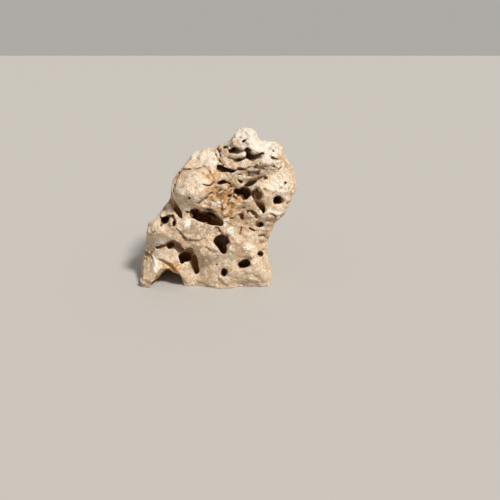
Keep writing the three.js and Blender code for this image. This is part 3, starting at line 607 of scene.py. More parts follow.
def bore_distance(places, path, sizes, roll):
    """About how far places lie outside a bore along a path.

    Its section is an oval whose half sizes run from the first pair to the last.
    """
    (wide, tall), (wide_end, tall_end) = sizes
    turn = math.radians(-roll)
    lengths = np.linalg.norm(np.diff(path, axis=0), axis=1)
    best = np.full(places.shape[:3], 1e9)
    gone = 0.0
    for a, b, length in zip(path, path[1:], lengths):
        ahead = (b - a) / length
        side = np.cross(ahead, (0, 0, 1)) + (0, 0, 1e-6)
        side /= np.linalg.norm(side)
        rise = np.cross(side, ahead)
        across = side * math.cos(turn) + rise * math.sin(turn)
        upright = rise * math.cos(turn) - side * math.sin(turn)
        along = (places - a) @ ahead
        held = np.clip(along, 0, length)
        share = (gone + held) / lengths.sum()
        w = wide + (wide_end - wide) * share
        t = tall + (tall_end - tall) * share
        small = np.minimum(w, t)
        off = places - a - held[..., None] * ahead
        far = np.sqrt((off @ across / w) ** 2 + (off @ upright / t) ** 2 + ((along - held) / small) ** 2)
        best = np.minimum(best, (far - 1) * small)
        gone += length
    return best


def cut_away(field, hole, soft):
    """The field without a hole, given by the distance to it, with its rim rounded over `soft` mm."""
    near = np.maximum(soft - np.abs(field + hole), 0) / soft
    return np.maximum(field, -hole) + near * near * soft / 4


class FaceMap:
    """A map of the face plane that marks are drawn on."""

    def __init__(self, value=0.0, step=1):
        self.step = step
        spots = [np.arange(low, high + 1, step) for low, high in zip(MAP_LOW, MAP_HIGH)]
        self.x, self.z = np.meshgrid(*spots, indexing="ij")
        self.places = np.stack([self.x, self.z], -1)
        self.data = np.full(self.x.shape, value, np.float32)

    def spot(self, x, z, wide, tall, soft):
        """An oval, 1 in its middle and 0 outside. Soft is the part of its size that its edge takes up."""
        far = np.hypot((self.x - x) / wide, (self.z - z) / tall)
        return 1 - smoothstep(far, 1 - soft, 1 + soft)

    def line(self, points):
        """Distance to a line through the points, and the side: 1 left of its way, -1 right of it."""
        best = np.full(self.x.shape, 1e9)
        side = np.ones(self.x.shape)
        for (ax, az), (bx, bz) in zip(points, points[1:]):
            dx, dz = bx - ax, bz - az
            share = np.clip(((self.x - ax) * dx + (self.z - az) * dz) / (dx * dx + dz * dz), 0, 1)
            far = np.hypot(self.x - ax - share * dx, self.z - az - share * dz)
            turn = np.sign(dx * (self.z - az) - dz * (self.x - ax))
            side = np.where(far < best, turn, side)
            best = np.minimum(best, far)
        return best, side

    def read(self, places):
        """The map's values at places on the face plane."""
        spots = [
            np.clip((places[..., k] - MAP_LOW[k]) / self.step, 0, self.data.shape[k] - 1.001)
            for k in (0, 1)
        ]
        i, j = (spot.astype(int) for spot in spots)
        u, v = spots[0] - i, spots[1] - j
        low = self.data[i, j] * (1 - u) + self.data[i + 1, j] * u
        high = self.data[i, j + 1] * (1 - u) + self.data[i + 1, j + 1] * u
        return low * (1 - v) + high * v


class Stone:
    """The stone as a block of cells: `field` holds each one's distance to the surface, negative inside.

    `shade` holds the painted shade that darkens each cell in the hollows and cracks. wear() adds more
    blocks of the same shape.
    """

    def __init__(self, mesh, cell, rng):
        mesh.calc_loop_triangles()
        points = np.empty((len(mesh.vertices), 3), np.float32)
        mesh.vertices.foreach_get("co", points.ravel())
        faces = np.empty((len(mesh.loop_triangles), 3), np.int32)
        mesh.loop_triangles.foreach_get("vertices", faces.ravel())
        points = points / MM
        self.cell = cell
        self.rng = rng
        self.first = np.floor((points.min(0) - BLOCK_MARGIN) / cell).astype(int)
        self.shape = tuple(np.ceil((points.max(0) + BLOCK_MARGIN) / cell).astype(int) - self.first)
        grid = openvdb.FloatGrid.createLevelSetFromPolygons(
            points, triangles=faces.astype(np.uint32), transform=self.transform(), halfWidth=TRUE_CELLS
        )
        self.field = np.zeros(self.shape, np.float32)
        grid.copyToArray(self.field, ijk=tuple(int(i) for i in self.first))
        self.axes = [(self.first[k] + np.arange(self.shape[k])) * cell for k in range(3)]
        self.places = np.stack(np.meshgrid(*self.axes, indexing="ij"), -1).astype(np.float32)
        self.shade = np.zeros(self.shape, np.float32)

    def transform(self):
        """The transform from cells to mm."""
        return openvdb.createLinearTransform(voxelSize=self.cell)

    def noise(self, length):
        """Random lumps of a length in mm through the whole block."""
        return noise_field(self.shape, length / self.cell, self.rng)

    def slope(self, sigma):
        """How the blurred field rises along each axis: the surface's normal, but not of unit length."""
        return np.gradient(blurred(self.field, sigma), self.cell)

    def skin_cells(self):
        """The cells next to the surface, in a random order."""
        near = np.argwhere(np.abs(self.field) < 0.6 * self.cell)
        return near[self.rng.permutation(len(near))]

    def extend_below(self, height):
        """Carries the stone's section at a height down through the ground."""
        level = int(np.searchsorted(self.axes[2], height))
        self.field[:, :, :level] = self.field[:, :, level : level + 1]

    def cut_flat(self):
        """Cuts the stone off at the ground."""
        self.field = np.maximum(self.field, -self.axes[2][None, None, :].astype(np.float32))

    def sample(self, data, points):
        """Values of a block of numbers at points in mm."""
        place = np.clip(points / self.cell - self.first, 0, np.array(self.shape) - 1.001)
        low = place.astype(int)
        share = place - low
        total = 0
        for corner in np.ndindex(2, 2, 2):
            weight = np.prod(np.where(corner, share, 1 - share), -1)
            total = total + weight * data[tuple((low + corner)[..., k] for k in range(3))]
        return total

    def window(self, low, high):
        """The part of the block that holds a box: its slices and its cells' places."""
        start = [int(np.clip(low[k] / self.cell - self.first[k], 0, self.shape[k])) for k in range(3)]
        stop = [int(np.clip(high[k] / self.cell - self.first[k] + 2, 0, self.shape[k])) for k in range(3)]
        cut = tuple(slice(a, b) for a, b in zip(start, stop))
        places = np.stack(np.meshgrid(*(self.axes[k][cut[k]] for k in range(3)), indexing="ij"), -1)
        return cut, places

    def read_skin(self):
        """Maps how far from the eye the stone's skin lies, as if its burrows were shut, and shuts them."""
        self.skin = FaceMap(step=SKIN_STEP)
        ways = sight(self.skin.places)
        far = np.full(self.skin.x.shape, RAY_START)
        for _ in range(RAY_STEPS):
            gap = self.sample(self.field, EYE + far[..., None] * ways)
            far += np.maximum(0.9 * gap, 0)
        far = np.where(far < RAY_END, far, MISSED)
        usual = np.stack([np.median(row[:, ::2, ::2], axis=(1, 2)) for row in neighbours(far, half=11)])
        inner = smoothstep(-outline_distance(closed_outline(), self.skin.places), 8, 14)
        burrowed = widened(smoothstep(far - usual, 2, 4) * inner, half=2)
        whole = far + (np.minimum(usual, far) - far) * burrowed
        self.skin.data = np.minimum(whole, SKIN_LIMIT).astype(np.float32)
        self.stop_up(widened(burrowed, half=6) * inner)

    def stop_up(self, burrowed):
        """Fills the solid's own burrows just under the skin, so that the traced ones can be cut there."""
        mask = FaceMap(step=SKIN_STEP)
        mask.data = burrowed.astype(np.float32)
        seen = face_place(self.places)
        depth = self.inward(self.places, seen)
        plug = np.maximum(-depth, depth - PLUG_DEPTH).astype(np.float32)
        plug[mask.read(seen) < 0.02] = CLEAR
        self.field = np.minimum(self.field, plug)

    def inward(self, places, seen):
        """How far places in mm, seen at those on the face plane, lie behind the skin."""
        return np.linalg.norm(places - EYE, axis=-1) - self.skin.read(seen)

    def seat(self, mark):
        """The skin behind a mark on the face plane, and the line of sight."""
        mark = np.array(mark, float)
        way = sight(mark)
        return EYE + self.skin.read(mark) * way, way

    def hollow_out(self, outline, deep, drift, ramp, least):
        """Cuts a hollow with a traced mouth, with painted shade on its walls that darkens further in.
        It narrows inwards and drifts off the line of sight.
        """
        outline = rounded(outline)
        ways = sight(outline)
        far = self.skin.read(outline)
        near = np.sort(far)[len(far) // 4]
        ends = np.concatenate([EYE + (near - HOLLOW_FRONT) * ways, EYE + (far.max() + deep) * ways])
        reach = 4 + np.abs(drift).max()
        cut, places = self.window(ends.min(0) - reach, ends.max(0) + reach)
        if 0 in places.shape:
            return
        seen = face_place(places)
        inward = self.inward(places, seen)
        share = inward / (deep * floor_depth(outline, seen, ramp, least))
        moved = seen - smoothstep(share, 0.3, 1.0)[..., None] * np.array(drift, float)
        gap = outline_distance(outline, moved) * (places[..., 1] - EYE[1]) / (FACE_Y - EYE[1])
        radius = half_width(outline)
        hole = radius * (np.hypot(gap / radius + 1, np.maximum(share - 0.45, 0) / 0.55) - 1)
        ragged = min(0.3 + 0.07 * radius, 1.3)
        hole = hole - 0.7 + ragged * self.unevenness(cut)
        hole[inward < -HOLLOW_FRONT - 2] = CLEAR
        self.field[cut] = cut_away(self.field[cut], hole, soft=0.5)
        # Painted shade: the walls darken the deeper they lie behind the skin.
        dark = (1 - smoothstep(hole, 0.8, 2.8)) * smoothstep(inward, 1.0, 20.0) ** 0.7
        self.shade[cut] = np.maximum(self.shade[cut], dark)

    def unevenness(self, cut):
        """How a hole's walls wander, mostly from -1 to 1, in the cut part of the block."""
        return 0.7 * self.ripple[cut] + 0.5 * self.crumb[cut]

    def crack_open(self, cracks):
        """Cuts thin cracks a few mm deep into the face, broken up by the crumbly grain.
        Paints shade into them.
        """
        chart = FaceMap(value=CLEAR)
        for _, half, points in cracks:
            chart.data = np.minimum(chart.data, chart.line(points)[0] - half).astype(np.float32)
        below = -self.field
        gap = chart.read(face_place(self.places)) + 0.5 * self.crumb + 0.16 * np.maximum(below, 0)
        gap = np.maximum(gap, below - 7) + CLEAR * (self.facing < 0.3)
        self.field = np.maximum(self.field, -gap).astype(np.float32)
        # Painted shade along the cracks, darker below the surface.
        dark = (1 - smoothstep(gap, 0.3, 1.6)) * smoothstep(below, 0.5, 4.0)
        self.shade = np.maximum(self.shade, 0.75 * dark).astype(np.float32)

    def carve(self, path, sizes, roll, ragged):
        """Bores along a path with an oval section and ragged walls."""
        path = np.asarray(path, float)
        reach = np.max(sizes) + ragged + 4
        cut, places = self.window(path.min(0) - reach, path.max(0) + reach)
        if 0 in places.shape:
            return
        hole = bore_distance(places, path, sizes, roll) + ragged * self.unevenness(cut)
        self.field[cut] = cut_away(self.field[cut], hole, soft=1.2)

    def bite(self, centre, size, squash, lean):
        """Takes a ball out of the stone, squashed along a line and a little uneven."""
        cut, places = self.window(centre - size - 3, centre + size + 3)
        if 0 in places.shape:
            return
        off = places - centre
        far = np.sqrt((off * off).sum(-1) + (1 / squash**2 - 1) * (off @ lean) ** 2) - size
        self.field[cut] = np.maximum(self.field[cut], -far - 0.12 * size * self.ripple[cut])

    def polygons(self):
        """The surface as points in mm and four-sided faces."""
        grid = openvdb.FloatGrid(OUTSIDE)
        grid.transform = self.transform()
        grid.copyFromArray(np.ascontiguousarray(self.field), ijk=tuple(int(i) for i in self.first))
        points, _, quads = grid.convertToPolygons(0.0, 0.0)
        return points.astype(float), quads.astype(int)


def face_relief(rng):
    """Raised and sunken marks over the face, in mm along the surface's normal."""
    relief = FaceMap()
    crumbs = tuple((x, z, half, 0.8 * half, height) for x, z, half, height in FACE_CRUMBS)
    for x, z, wide, tall, height in FACE_KNOBS + crumbs:
        relief.data += height * relief.spot(x, z, wide, tall, soft=0.6)
    for _, depth, width, points in FACE_GROOVES:
        relief.data -= depth * np.exp(-((relief.line(points)[0] / width) ** 2))
    for _, depth, reach, lip, points in FACE_LEDGES:
        far, side = relief.line(points)
        ends = [np.hypot(relief.x - x, relief.z - z) for x, z in (points[0], points[-1])]
        fade = smoothstep(np.minimum(*ends), 0, reach)
        relief.data -= depth * fade * smoothstep(-side * far, -0.6, 1.4) * np.exp(-far / reach)
        relief.data += lip * fade * np.exp(-((far / 3.0) ** 2)) * (side > 0)
    for x, z, wide, tall, slope, period, height in FACE_LAYERS:
        turn = math.radians(slope)
        warp = noise_field((*relief.x.shape, 1), (30, 30, 9), rng)[..., 0]
        across = (relief.z * math.cos(turn) - relief.x * math.sin(turn)) / period + warp
        relief.data += height * terraces(across, rng) * relief.spot(x, z, wide, tall, soft=0.4)
    return relief


def face_roughness():
    """How rough the face is: 0 worn smooth, 1 crumbly."""
    rough = FaceMap(value=0.75)
    for x, z, wide, tall, value in FACE_ROUGHNESS:
        share = rough.spot(x, z, wide, tall, soft=0.35)
        rough.data = rough.data * (1 - share) + value * share
    return rough


def face_tints():
    """Maps over the face, each 0 to 1: the ochre stain, the bleached crust with painted highlights,
    the painted grey shade and the dull tan.
    """
    tints = {name: FaceMap() for name in FACE_TINTS}
    tints["dull"].data = (0.2 * smoothstep(-tints["dull"].z, -190, -120)).astype(np.float32)
    for name, marks in FACE_TINTS.items():
        data = tints[name].data
        for x, z, wide, tall, value in marks:
            np.maximum(data, value * tints[name].spot(x, z, wide, tall, soft=0.5), out=data)
    return tints


def wear(stone, look):
    """Wears the plain solid: lumps, layers, face marks, hollows, pits and crumbly grain.

    For paint() it keeps `shell`, the stone before it is worn, and `rough`, how rough it is.
    """
    stone.extend_below(FOOT_HEIGHT)
    stone.field = blurred(stone.field, EDGE_SOFTNESS / stone.cell)
    stone.read_skin()
    stone.shell = stone.field.copy()
    broad, lumps, knobs = (stone.noise(length) for length in (46, 24, 13))
    stone.ripple = stone.noise(10)
    stone.crumb = stone.noise(6)
    stone.facing = facing_eye(stone)
    seen = face_place(stone.places).astype(np.float32)
    rough = face_roughness().read(seen) * stone.facing + (0.75 + 0.35 * broad) * (1 - stone.facing)
    stone.rough = np.clip(rough, 0.12, 1.5)

    swell = swelling(stone, look.relief, broad, lumps, knobs)
    relief = np.minimum(face_relief(stone.rng).read(seen), RELIEF_LIMIT) * stone.facing
    edge = FaceMap()
    edge.data = (EDGE_SWELL * np.exp(-((edge.line(OUTLINE)[0] / EDGE_WIDTH) ** 2))).astype(np.float32)
    stone.field = (stone.field - swell - relief - edge.read(seen)).astype(np.float32)
    scallop(stone, spacing=15, sizes=(6.0, 11.0), depth=3.0 * look.relief)
    scallop(stone, spacing=8, sizes=(3.0, 6.5), depth=1.8 * look.relief)
    trim_to_outline(stone, seen)
    stone.crack_open(FACE_CRACKS)
    open_hollows(stone)
    scatter_pits(stone, look.pits)
    roughen(stone, look.relief)
    stone.cut_flat()


def facing_eye(stone):
    """How much the surface next to each cell faces the eye, 0 to 1."""
    slopes = np.stack(stone.slope(2.0), -1)
    slopes /= np.linalg.norm(slopes, axis=-1, keepdims=True) + 1e-6
    ways = EYE - stone.places
    ways /= np.linalg.norm(ways, axis=-1, keepdims=True)
    return smoothstep((slopes * ways).sum(-1), -0.05, 0.3).astype(np.float32)


def swelling(stone, strength, broad, lumps, knobs):
    """How far the stone's lumps, ripples and worn beds stand out, in mm."""
    beds = terraces(stone.places @ BED_RISE / BED_HEIGHT + 1.1 * lumps + 0.5 * knobs, stone.rng)
    return 2.0 * broad + strength * stone.rough * (
        2.4 * (1 - 2.2 * np.abs(lumps)) + 2.0 * (2.2 * np.abs(knobs) - 1) + 1.1 * stone.ripple + 1.7 * beds
    )


def trim_to_outline(stone, seen):
    """Cuts away what the eye would see outside the outline, with a ragged edge."""
    chart = FaceMap()
    chart.data = outline_distance(closed_outline(), chart.places).astype(np.float32)
    outside = chart.read(seen) + 0.6 * stone.crumb + 0.5 * stone.rough * stone.ripple
    stone.field = cut_away(stone.field, -outside, soft=3.5).astype(np.float32)


def open_hollows(stone):
    """Cuts the traced hollows and the plain burrows into the face, and widens those in the back."""
    for name, deep, drift, outline in FACE_HOLLOWS:
        stone.hollow_out(outline, deep, drift, *RAMPS.get(name, LEVEL))
    for mark, wide, tall, roll, deep in FACE_BURROWS:
        seat, way = stone.seat(mark)
        sizes = ((wide, tall), (wide * 0.8, tall * 0.8))
        stone.carve([seat - 12 * way, seat + deep * way], sizes, roll, ragged=0.6)
    for _, path, sizes, roll in BACK_BURROWS:
        stone.carve(path, sizes, roll, ragged=1.6)


def roughen(stone, strength):
    """Covers the stone with crumbly grain, coarse where it is rough."""
    grain = 0.6 * stone.noise(4.2) + (2.2 * np.abs(stone.crumb) - 1)
    coarse = np.minimum(stone.rough, 1.1) * (1 + 0.9 * smoothstep(stone.rough, 0.7, 1.0))
    stone.field = stone.field - strength * coarse * grain.astype(np.float32)
    stone.field = blurred(stone.field, 0.5)


def one_per_box(spots, size):
    """Picks the first spot in each box of a grid of that size."""
    boxes = np.floor(spots / size).astype(int)
    _, picked = np.unique(boxes @ np.array((1, 1000, 1000000)), return_index=True)
    return picked


def normal_at(slope, key):
    """The unit normal at a cell."""
    normal = np.array([part[key] for part in slope])
    normal /= np.linalg.norm(normal) + 1e-6
    return normal


def scallop(stone, spacing, sizes, depth):
    """Shallow round bites with sharp edges between them, deep where the stone is rough."""
    near = stone.skin_cells()
    spots = (near + stone.first) * stone.cell
    picked = one_per_box(spots, spacing)
    slope = stone.slope(1.5)
    for cell, spot in zip(near[picked], spots[picked]):
        key = tuple(cell)
        rough = stone.rough[key]
        bite = depth * stone.rng.uniform(0.2, 1.0) * min(rough, 1.2) * (1 - 0.75 * stone.facing[key])
        if rough < 0.35 or bite < 0.5:
            continue
        size = stone.rng.uniform(*sizes)
        lean = stone.rng.normal(size=3)
        lean /= np.linalg.norm(lean)
        centre = spot + (size - bite) * normal_at(slope, key)
        stone.bite(centre, size, stone.rng.uniform(0.5, 1.0), lean)


def room_for_pit(stone, spot, normal, taken):
    """Whether a spot is away from the pits already taken, with no stone in front of it."""
    if len(taken) and (np.abs(taken - spot).max(1) < PIT_SPACING).any():
        return False
    ahead = np.array([spot + reach * normal for reach in (7, 14)])
    return (stone.sample(stone.field, ahead) >= 0).all()


def scatter_pits(stone, most):
    """Small burrows and pits over the whole stone, thick where it is rough, none in narrow hollows."""
    taken = np.zeros((0, 3))
    near = stone.skin_cells()
    slope = stone.slope(1.5)
    for cell in near:
        key = tuple(cell)
        spot = (cell + stone.first) * stone.cell
        if spot[2] < PIT_LOWEST:
            continue
        least_rough, common, least_size, spread = FACE_PITS if stone.facing[key] > 0.05 else OTHER_PITS
        if stone.rng.random() > common * max(0.0, stone.rough[key] - least_rough):
            continue
        normal = normal_at(slope, key)
        if not room_for_pit(stone, spot, normal, taken):
            continue
        size = least_size + spread * stone.rng.random() ** 3
        lean = normal + stone.rng.uniform(-0.5, 0.5, 3)
        lean /= np.linalg.norm(lean)
        path = [spot + 3 * normal, spot - (2.4 * size + 2) * lean]
        squash = stone.rng.uniform(0.55, 1.0)
        sizes = ((size, size * squash), (size * 0.7, size * squash * 0.7))
        stone.carve(path, sizes, stone.rng.uniform(-60, 60), ragged=0.5)
        taken = np.vstack([taken, spot])
        if len(taken) >= most:
            break


def paint(stone, mesh):
    """Stores how hollow, exposed and stained each point of the mesh is: masks for painted shade,
    painted highlights, stains and tints.
    """
    points, normals = (np.empty((len(mesh.vertices), 3), np.float32) for _ in range(2))
    mesh.vertices.foreach_get("co", points.ravel())
    mesh.vertices.foreach_get("normal", normals.ravel())
    points = points.astype(float) / MM
    masks = hollow_masks(stone, points, normals)
    ways = EYE - points
    ways /= np.linalg.norm(ways, axis=1, keepdims=True)
    facing = smoothstep((normals * ways).sum(1), -0.35, 0.25) * smoothstep(-points[:, 1], -30, 10)
    seen = face_place(points)
    elsewhere = tints_elsewhere(stone, points, normals)
    for name, chart in face_tints().items():
        masks[name] = chart.read(seen) * facing + elsewhere[name] * (1 - facing)
    for name, values in masks.items():
        layer = mesh.attributes.new(name, "FLOAT", "POINT")
        layer.data.foreach_set("value", values.astype(np.float32))


def hollow_masks(stone, points, normals):
    """Masks that tell hollows, cracks and dark caves from edges and open faces, by the stone around:
    painted shade goes into the first, painted highlights onto the others.
    """
    filled = np.clip(0.5 - stone.field / (2 * stone.cell), 0, 1)
    outer = points + 1.5 * normals
    tight = stone.sample(blurred(filled, 1.8 / stone.cell), points + 0.8 * normals)
    fine = stone.sample(blurred(filled, 3.6 / stone.cell), outer)
    wide = stone.sample(blurred(filled, 8.0 / stone.cell), outer)
    deep = stone.sample(stone.shell, points)
    # Painted shade deep inside the caves and burrows.
    cave = smoothstep(wide, 0.5, 0.75) * smoothstep(-deep, 3, 10)
    return {
        "crumbly": stone.sample(smoothstep(stone.rough, 0.35, 1.0), points),
        # crack and hollow are painted shade, ridge and exposed painted highlights, cavern painted shade
        # deep inside.
        "crack_shade": smoothstep(tight, 0.37, 0.56),
        "ridge_highlight": 1 - smoothstep(tight, 0.14, 0.26),
        "hollow_shade": smoothstep(fine, 0.42, 0.66),
        "cavern_shade": np.maximum(cave, stone.sample(stone.shade, points)),
        "exposed_highlight": 1 - smoothstep(wide * 0.6 + fine * 0.4, 0.2, 0.42),
    }


def tints_elsewhere(stone, points, normals):
    """The tints where the face's maps don't reach: random patches, dull at the foot, more bleach where the
    face looks up, as painted light, and painted grey shade where it looks down.
    """
    patch, crust_and_highlight = (stone.sample(stone.noise(length), points) for length in (52, 40))
    up = normals[:, 2]
    return {
        "ochre": smoothstep(patch, 0.1, 1.1) * 0.6,
        # More bleach where the face looks up: painted light on the tops.
        "bleach_and_highlight": smoothstep(crust_and_highlight + 0.5 * up, 0.2, 1.1) * 0.8,
        # Painted shade where the face looks down.
        "grey_shade": smoothstep(-patch - 0.4 * up, 0.3, 1.3) * 0.5,
        "dull": smoothstep(-points[:, 2] + 30 * patch, -190, -110) * 0.6,
    }


class Nodes:
    """A node tree and short ways to add to it. Inputs are numbers, colours or other nodes' sockets."""

    def __init__(self, tree):
        self.tree = tree

    def join(self, value, socket):
        """Links a socket to an input, or sets the input."""
        if isinstance(value, bpy.types.NodeSocket):
            self.tree.links.new(value, socket)
        else:
            socket.default_value = value

    def add(self, kind, values=None, **settings):
        """A node with its settings and inputs."""
        node = self.tree.nodes.new(kind)
        for name, value in settings.items():
            setattr(node, name, value)
        for key, value in (values or {}).items():
            self.join(value, node.inputs[key])
        return node

    def math(self, operation, *values):
        """The values joined up by an operation, from the first to the last."""
        result = values[0]
        for value in values[1:]:
            result = self.add("ShaderNodeMath", {0: result, 1: value}, operation=operation).outputs[0]
        return result

    def times(self, *values):
        """The product of the values."""
        return self.math("MULTIPLY", *values)

    def plus(self, *values):
        """The sum of the values."""
        return self.math("ADD", *values)

    def minus(self, a, b):
        """What is left of a without b."""
        return self.math("SUBTRACT", a, b)

    def most(self, *values):
        """The largest of the values."""
        return self.math("MAXIMUM", *values)

    def ramp(self, value, low, high):
        """0 at low, 1 at high, smooth between."""
        values = {"Value": value, "From Min": low, "From Max": high}
        return self.add("ShaderNodeMapRange", values, interpolation_type="SMOOTHSTEP").outputs["Result"]

    def mixed(self, share, a, b):
        """A colour that goes from a to b as the share goes from 0 to 1."""
        return self.add("ShaderNodeMix", {0: share, 6: a, 7: b}, data_type="RGBA").outputs[2]

    def mask(self, name):
        """One of the mesh's own masks."""
        return self.add("ShaderNodeAttribute", attribute_name=name).outputs["Fac"]

    def patchy(self, name, noise):
        """A mask that is whole where it is strong and broken up by a noise where it is weak."""
        return self.ramp(self.plus(self.mask(name), self.times(self.minus(noise, 0.5), 2.6)), 0.4, 1.0)


def stone_material(finish):
    """Weathered limestone, with a bump for the grain that is too fine to model."""
    material = bpy.data.materials.new("weathered_limestone")
    material.use_nodes = True
    nodes = Nodes(material.node_tree)
    shader = nodes.tree.nodes["Principled BSDF"]
    where = nodes.add("ShaderNodeTexCoord").outputs["Object"]
    noises = {}
    for name, (size, detail, rough, twist) in STONE_NOISES.items():
        values = {
            "Vector": where, "Scale": 1 / size, "Detail": detail, "Roughness": rough, "Distortion": twist,
        }
        noises[name] = nodes.add("ShaderNodeTexNoise", values).outputs["Fac"]
    from_middle = nodes.minus(noises["fine"], 0.5)
    seams = nodes.add("ShaderNodeMath", {0: from_middle}, operation="ABSOLUTE").outputs[0]
    pores = nodes.add("ShaderNodeTexVoronoi", {"Vector": where, "Scale": 1 / PAINTED_PORE_SPACING})
    dots = nodes.times(
        nodes.ramp(pores.outputs["Distance"], 0.3, 0.14), nodes.ramp(noises["patch"], 0.46, 0.6)
    )
    nodes.join(stone_colour(nodes, finish, noises, seams, dots), shader.inputs["Base Color"])
    height = stone_height(nodes, noises, seams, dots)
    bump = nodes.add("ShaderNodeBump", {"Height": height, "Distance": finish.bump, "Strength": 0.8})
    nodes.join(bump.outputs["Normal"], shader.inputs["Normal"])
    shader.inputs["Roughness"].default_value = finish.roughness
    shader.inputs["Specular IOR Level"].default_value = STONE_SHEEN
    return material


def stone_colour(nodes, finish, noises, seams, dots):
    """Cream and sand coloured limestone under its coats of stain, crust and dirt, with painted shade
    in its hollows, cracks and burrows and painted highlights on its edges and ridges.
    """
    times, ramp, mask = nodes.times, nodes.ramp, nodes.mask
    patch, blot, speck, fine = (noises[name] for name in ("patch", "blot", "speck", "fine"))
    rust = times(mask("ochre"), ramp(blot, 0.5, 0.6))
    # Painted highlights on open faces, edges and ridges, mixed with the bleached crust and whitish mottle.
    edge = times(mask("exposed_highlight"), ramp(speck, 0.42, 0.66))
    crust_and_highlight = nodes.most(
        nodes.patchy("bleach_and_highlight", speck),
        times(edge, 0.7),
        times(mask("ridge_highlight"), 0.85),
        times(ramp(fine, 0.55, 0.64), 0.7),
    )
    # Painted shade in hollows and cracks, with dirt mottled by noise.
    dirt_and_shade = nodes.most(
        times(mask("hollow_shade"), ramp(speck, 0.2, 0.62)),
        mask("crack_shade"),
        times(mask("crumbly"), ramp(fine, 0.42, 0.3), 0.6),
        times(mask("crumbly"), ramp(seams, 0.03, 0.0), 0.5),
        times(ramp(fine, 0.47, 0.36), 0.42),
    )
    tone = nodes.plus(times(patch, 0.5), times(blot, 0.3), times(noises["cloud"], 0.2))
    colour = nodes.mixed(ramp(tone, 0.42, 0.58), tuple(finish.sand), tuple(finish.cream))
    for share, coat in (
        (nodes.patchy("dull", blot), finish.tan),
        (nodes.patchy("ochre", patch), finish.ochre),
        (times(rust, 0.8), finish.rust),
        # Painted shade, in grey.
        (times(nodes.patchy("grey_shade", blot), 0.85), finish.grey_shade),
        (crust_and_highlight, finish.bleached_and_highlight),
        (times(dirt_and_shade, 0.85), finish.umber),
        # Painted shade deep in the hollows, cracks and burrows.
        (mask("cavern_shade"), finish.cavern_shade),
        (times(dots, 0.5), finish.umber),
    ):
        colour = nodes.mixed(share, colour, tuple(coat))
    return colour


def stone_height(nodes, noises, seams, dots):
    """The height of the fine grain, seams and pores, stronger where the stone is crumbly."""
    times = nodes.times
    height = nodes.plus(
        times(noises["speck"], 1.4),
        times(noises["grain"], 0.6),
        noises["blot"],
        times(nodes.math("MINIMUM", seams, 0.12), 6.0),
    )
    height = nodes.minus(height, times(dots, 0.8))
    return times(height, nodes.plus(times(nodes.mask("crumbly"), 0.7), 0.9))


def new_sockets(tree):
    """The inputs and the output of the weathering nodes."""
    add = tree.interface.new_socket
    add("Geometry", in_out="INPUT", socket_type="NodeSocketGeometry")
    for label, default in WEATHERING_LENGTHS.items():
        socket = add(label, in_out="INPUT", socket_type="NodeSocketFloat")
        socket.default_value = default
        socket.subtype = "DISTANCE"
    add("Seed", in_out="INPUT", socket_type="NodeSocketInt").default_value = 7
    add("Geometry", in_out="OUTPUT", socket_type="NodeSocketGeometry")


def weathering_tree(material):
    """Geometry nodes that pit and roughen a surface along its normal."""
    tree = bpy.data.node_groups.new("Weathering", "GeometryNodeTree")
    new_sockets(tree)
    nodes = Nodes(tree)
    given = nodes.add("NodeGroupInput").outputs
    place = nodes.add("GeometryNodeInputPosition").outputs[0]
    normal = nodes.add("GeometryNodeInputNormal").outputs[0]
    cavern_shade = nodes.add("GeometryNodeInputNamedAttribute", {"Name": "cavern_shade"}, data_type="FLOAT").outputs[0]
    base = nodes.add("ShaderNodeSeparateXYZ", {0: place}).outputs["Z"]
    grain = nodes.add("ShaderNodeTexNoise", {
        "Vector": place, "W": given["Seed"], "Detail": 3.0, "Roughness": 0.6,
        "Scale": nodes.math("DIVIDE", 1.0, given["Grain Size"]),
    }, noise_dimensions="4D").outputs["Fac"]
    pores = nodes.add("ShaderNodeTexVoronoi", {
        "Vector": place, "W": given["Seed"], "Scale": nodes.math("DIVIDE", 1.0, given["Pore Spacing"]),
    }, voronoi_dimensions="4D").outputs["Distance"]
    rise = nodes.times(nodes.minus(grain, 0.5), 2.0, given["Grain Height"])
    sink = nodes.times(nodes.ramp(pores, 0.34, 0.12), given["Pore Depth"], nodes.minus(1.0, cavern_shade))
    lift = nodes.times(nodes.minus(rise, sink), nodes.ramp(base, 0.001, 0.006))
    offset = nodes.add("ShaderNodeVectorMath", {0: normal, "Scale": lift}, operation="SCALE").outputs[0]
    moved = nodes.add("GeometryNodeSetPosition", {"Geometry": given["Geometry"], "Offset": offset})
    real = nodes.add("GeometryNodeRealizeInstances", {"Geometry": moved.outputs[0]})
    done = nodes.add("GeometryNodeSetMaterial", {"Geometry": real.outputs[0], "Material": material})
    nodes.add("NodeGroupOutput", {0: done.outputs[0]})
    return tree


def set_input(modifier, name, value):
    """Sets a modifier's named input by its socket's identifier."""
    for item in modifier.node_group.interface.items_tree:
        if item.item_type == "SOCKET" and item.in_out == "INPUT" and item.name == name:
            modifier[item.identifier] = value


def clean_copy(obj):
    """A merged copy of a solid's loose triangles."""
    work = bmesh.new()
    work.from_mesh(obj.data)
    bmesh.ops.remove_doubles(work, verts=work.verts, dist=1e-6)
    mesh = bpy.data.meshes.new("merged")
    work.to_mesh(mesh)
    work.free()
    return mesh


def largest_shell(points, quads):
    """Leaves out loose crumbs and sealed bubbles."""
    label = np.arange(len(points))
    edges = np.concatenate([quads[:, [k, (k + 1) % 4]] for k in range(4)])
    while True:
        low = np.minimum(label[edges[:, 0]], label[edges[:, 1]])
        fresh = label.copy()
        np.minimum.at(fresh, edges[:, 0], low)
        np.minimum.at(fresh, edges[:, 1], low)
        fresh = fresh[fresh]
        if (fresh == label).all():
            break
        label = fresh
    kept = label == np.bincount(label).argmax()
    index = np.cumsum(kept) - 1
    return points[kept], index[quads[kept[quads[:, 0]]]]


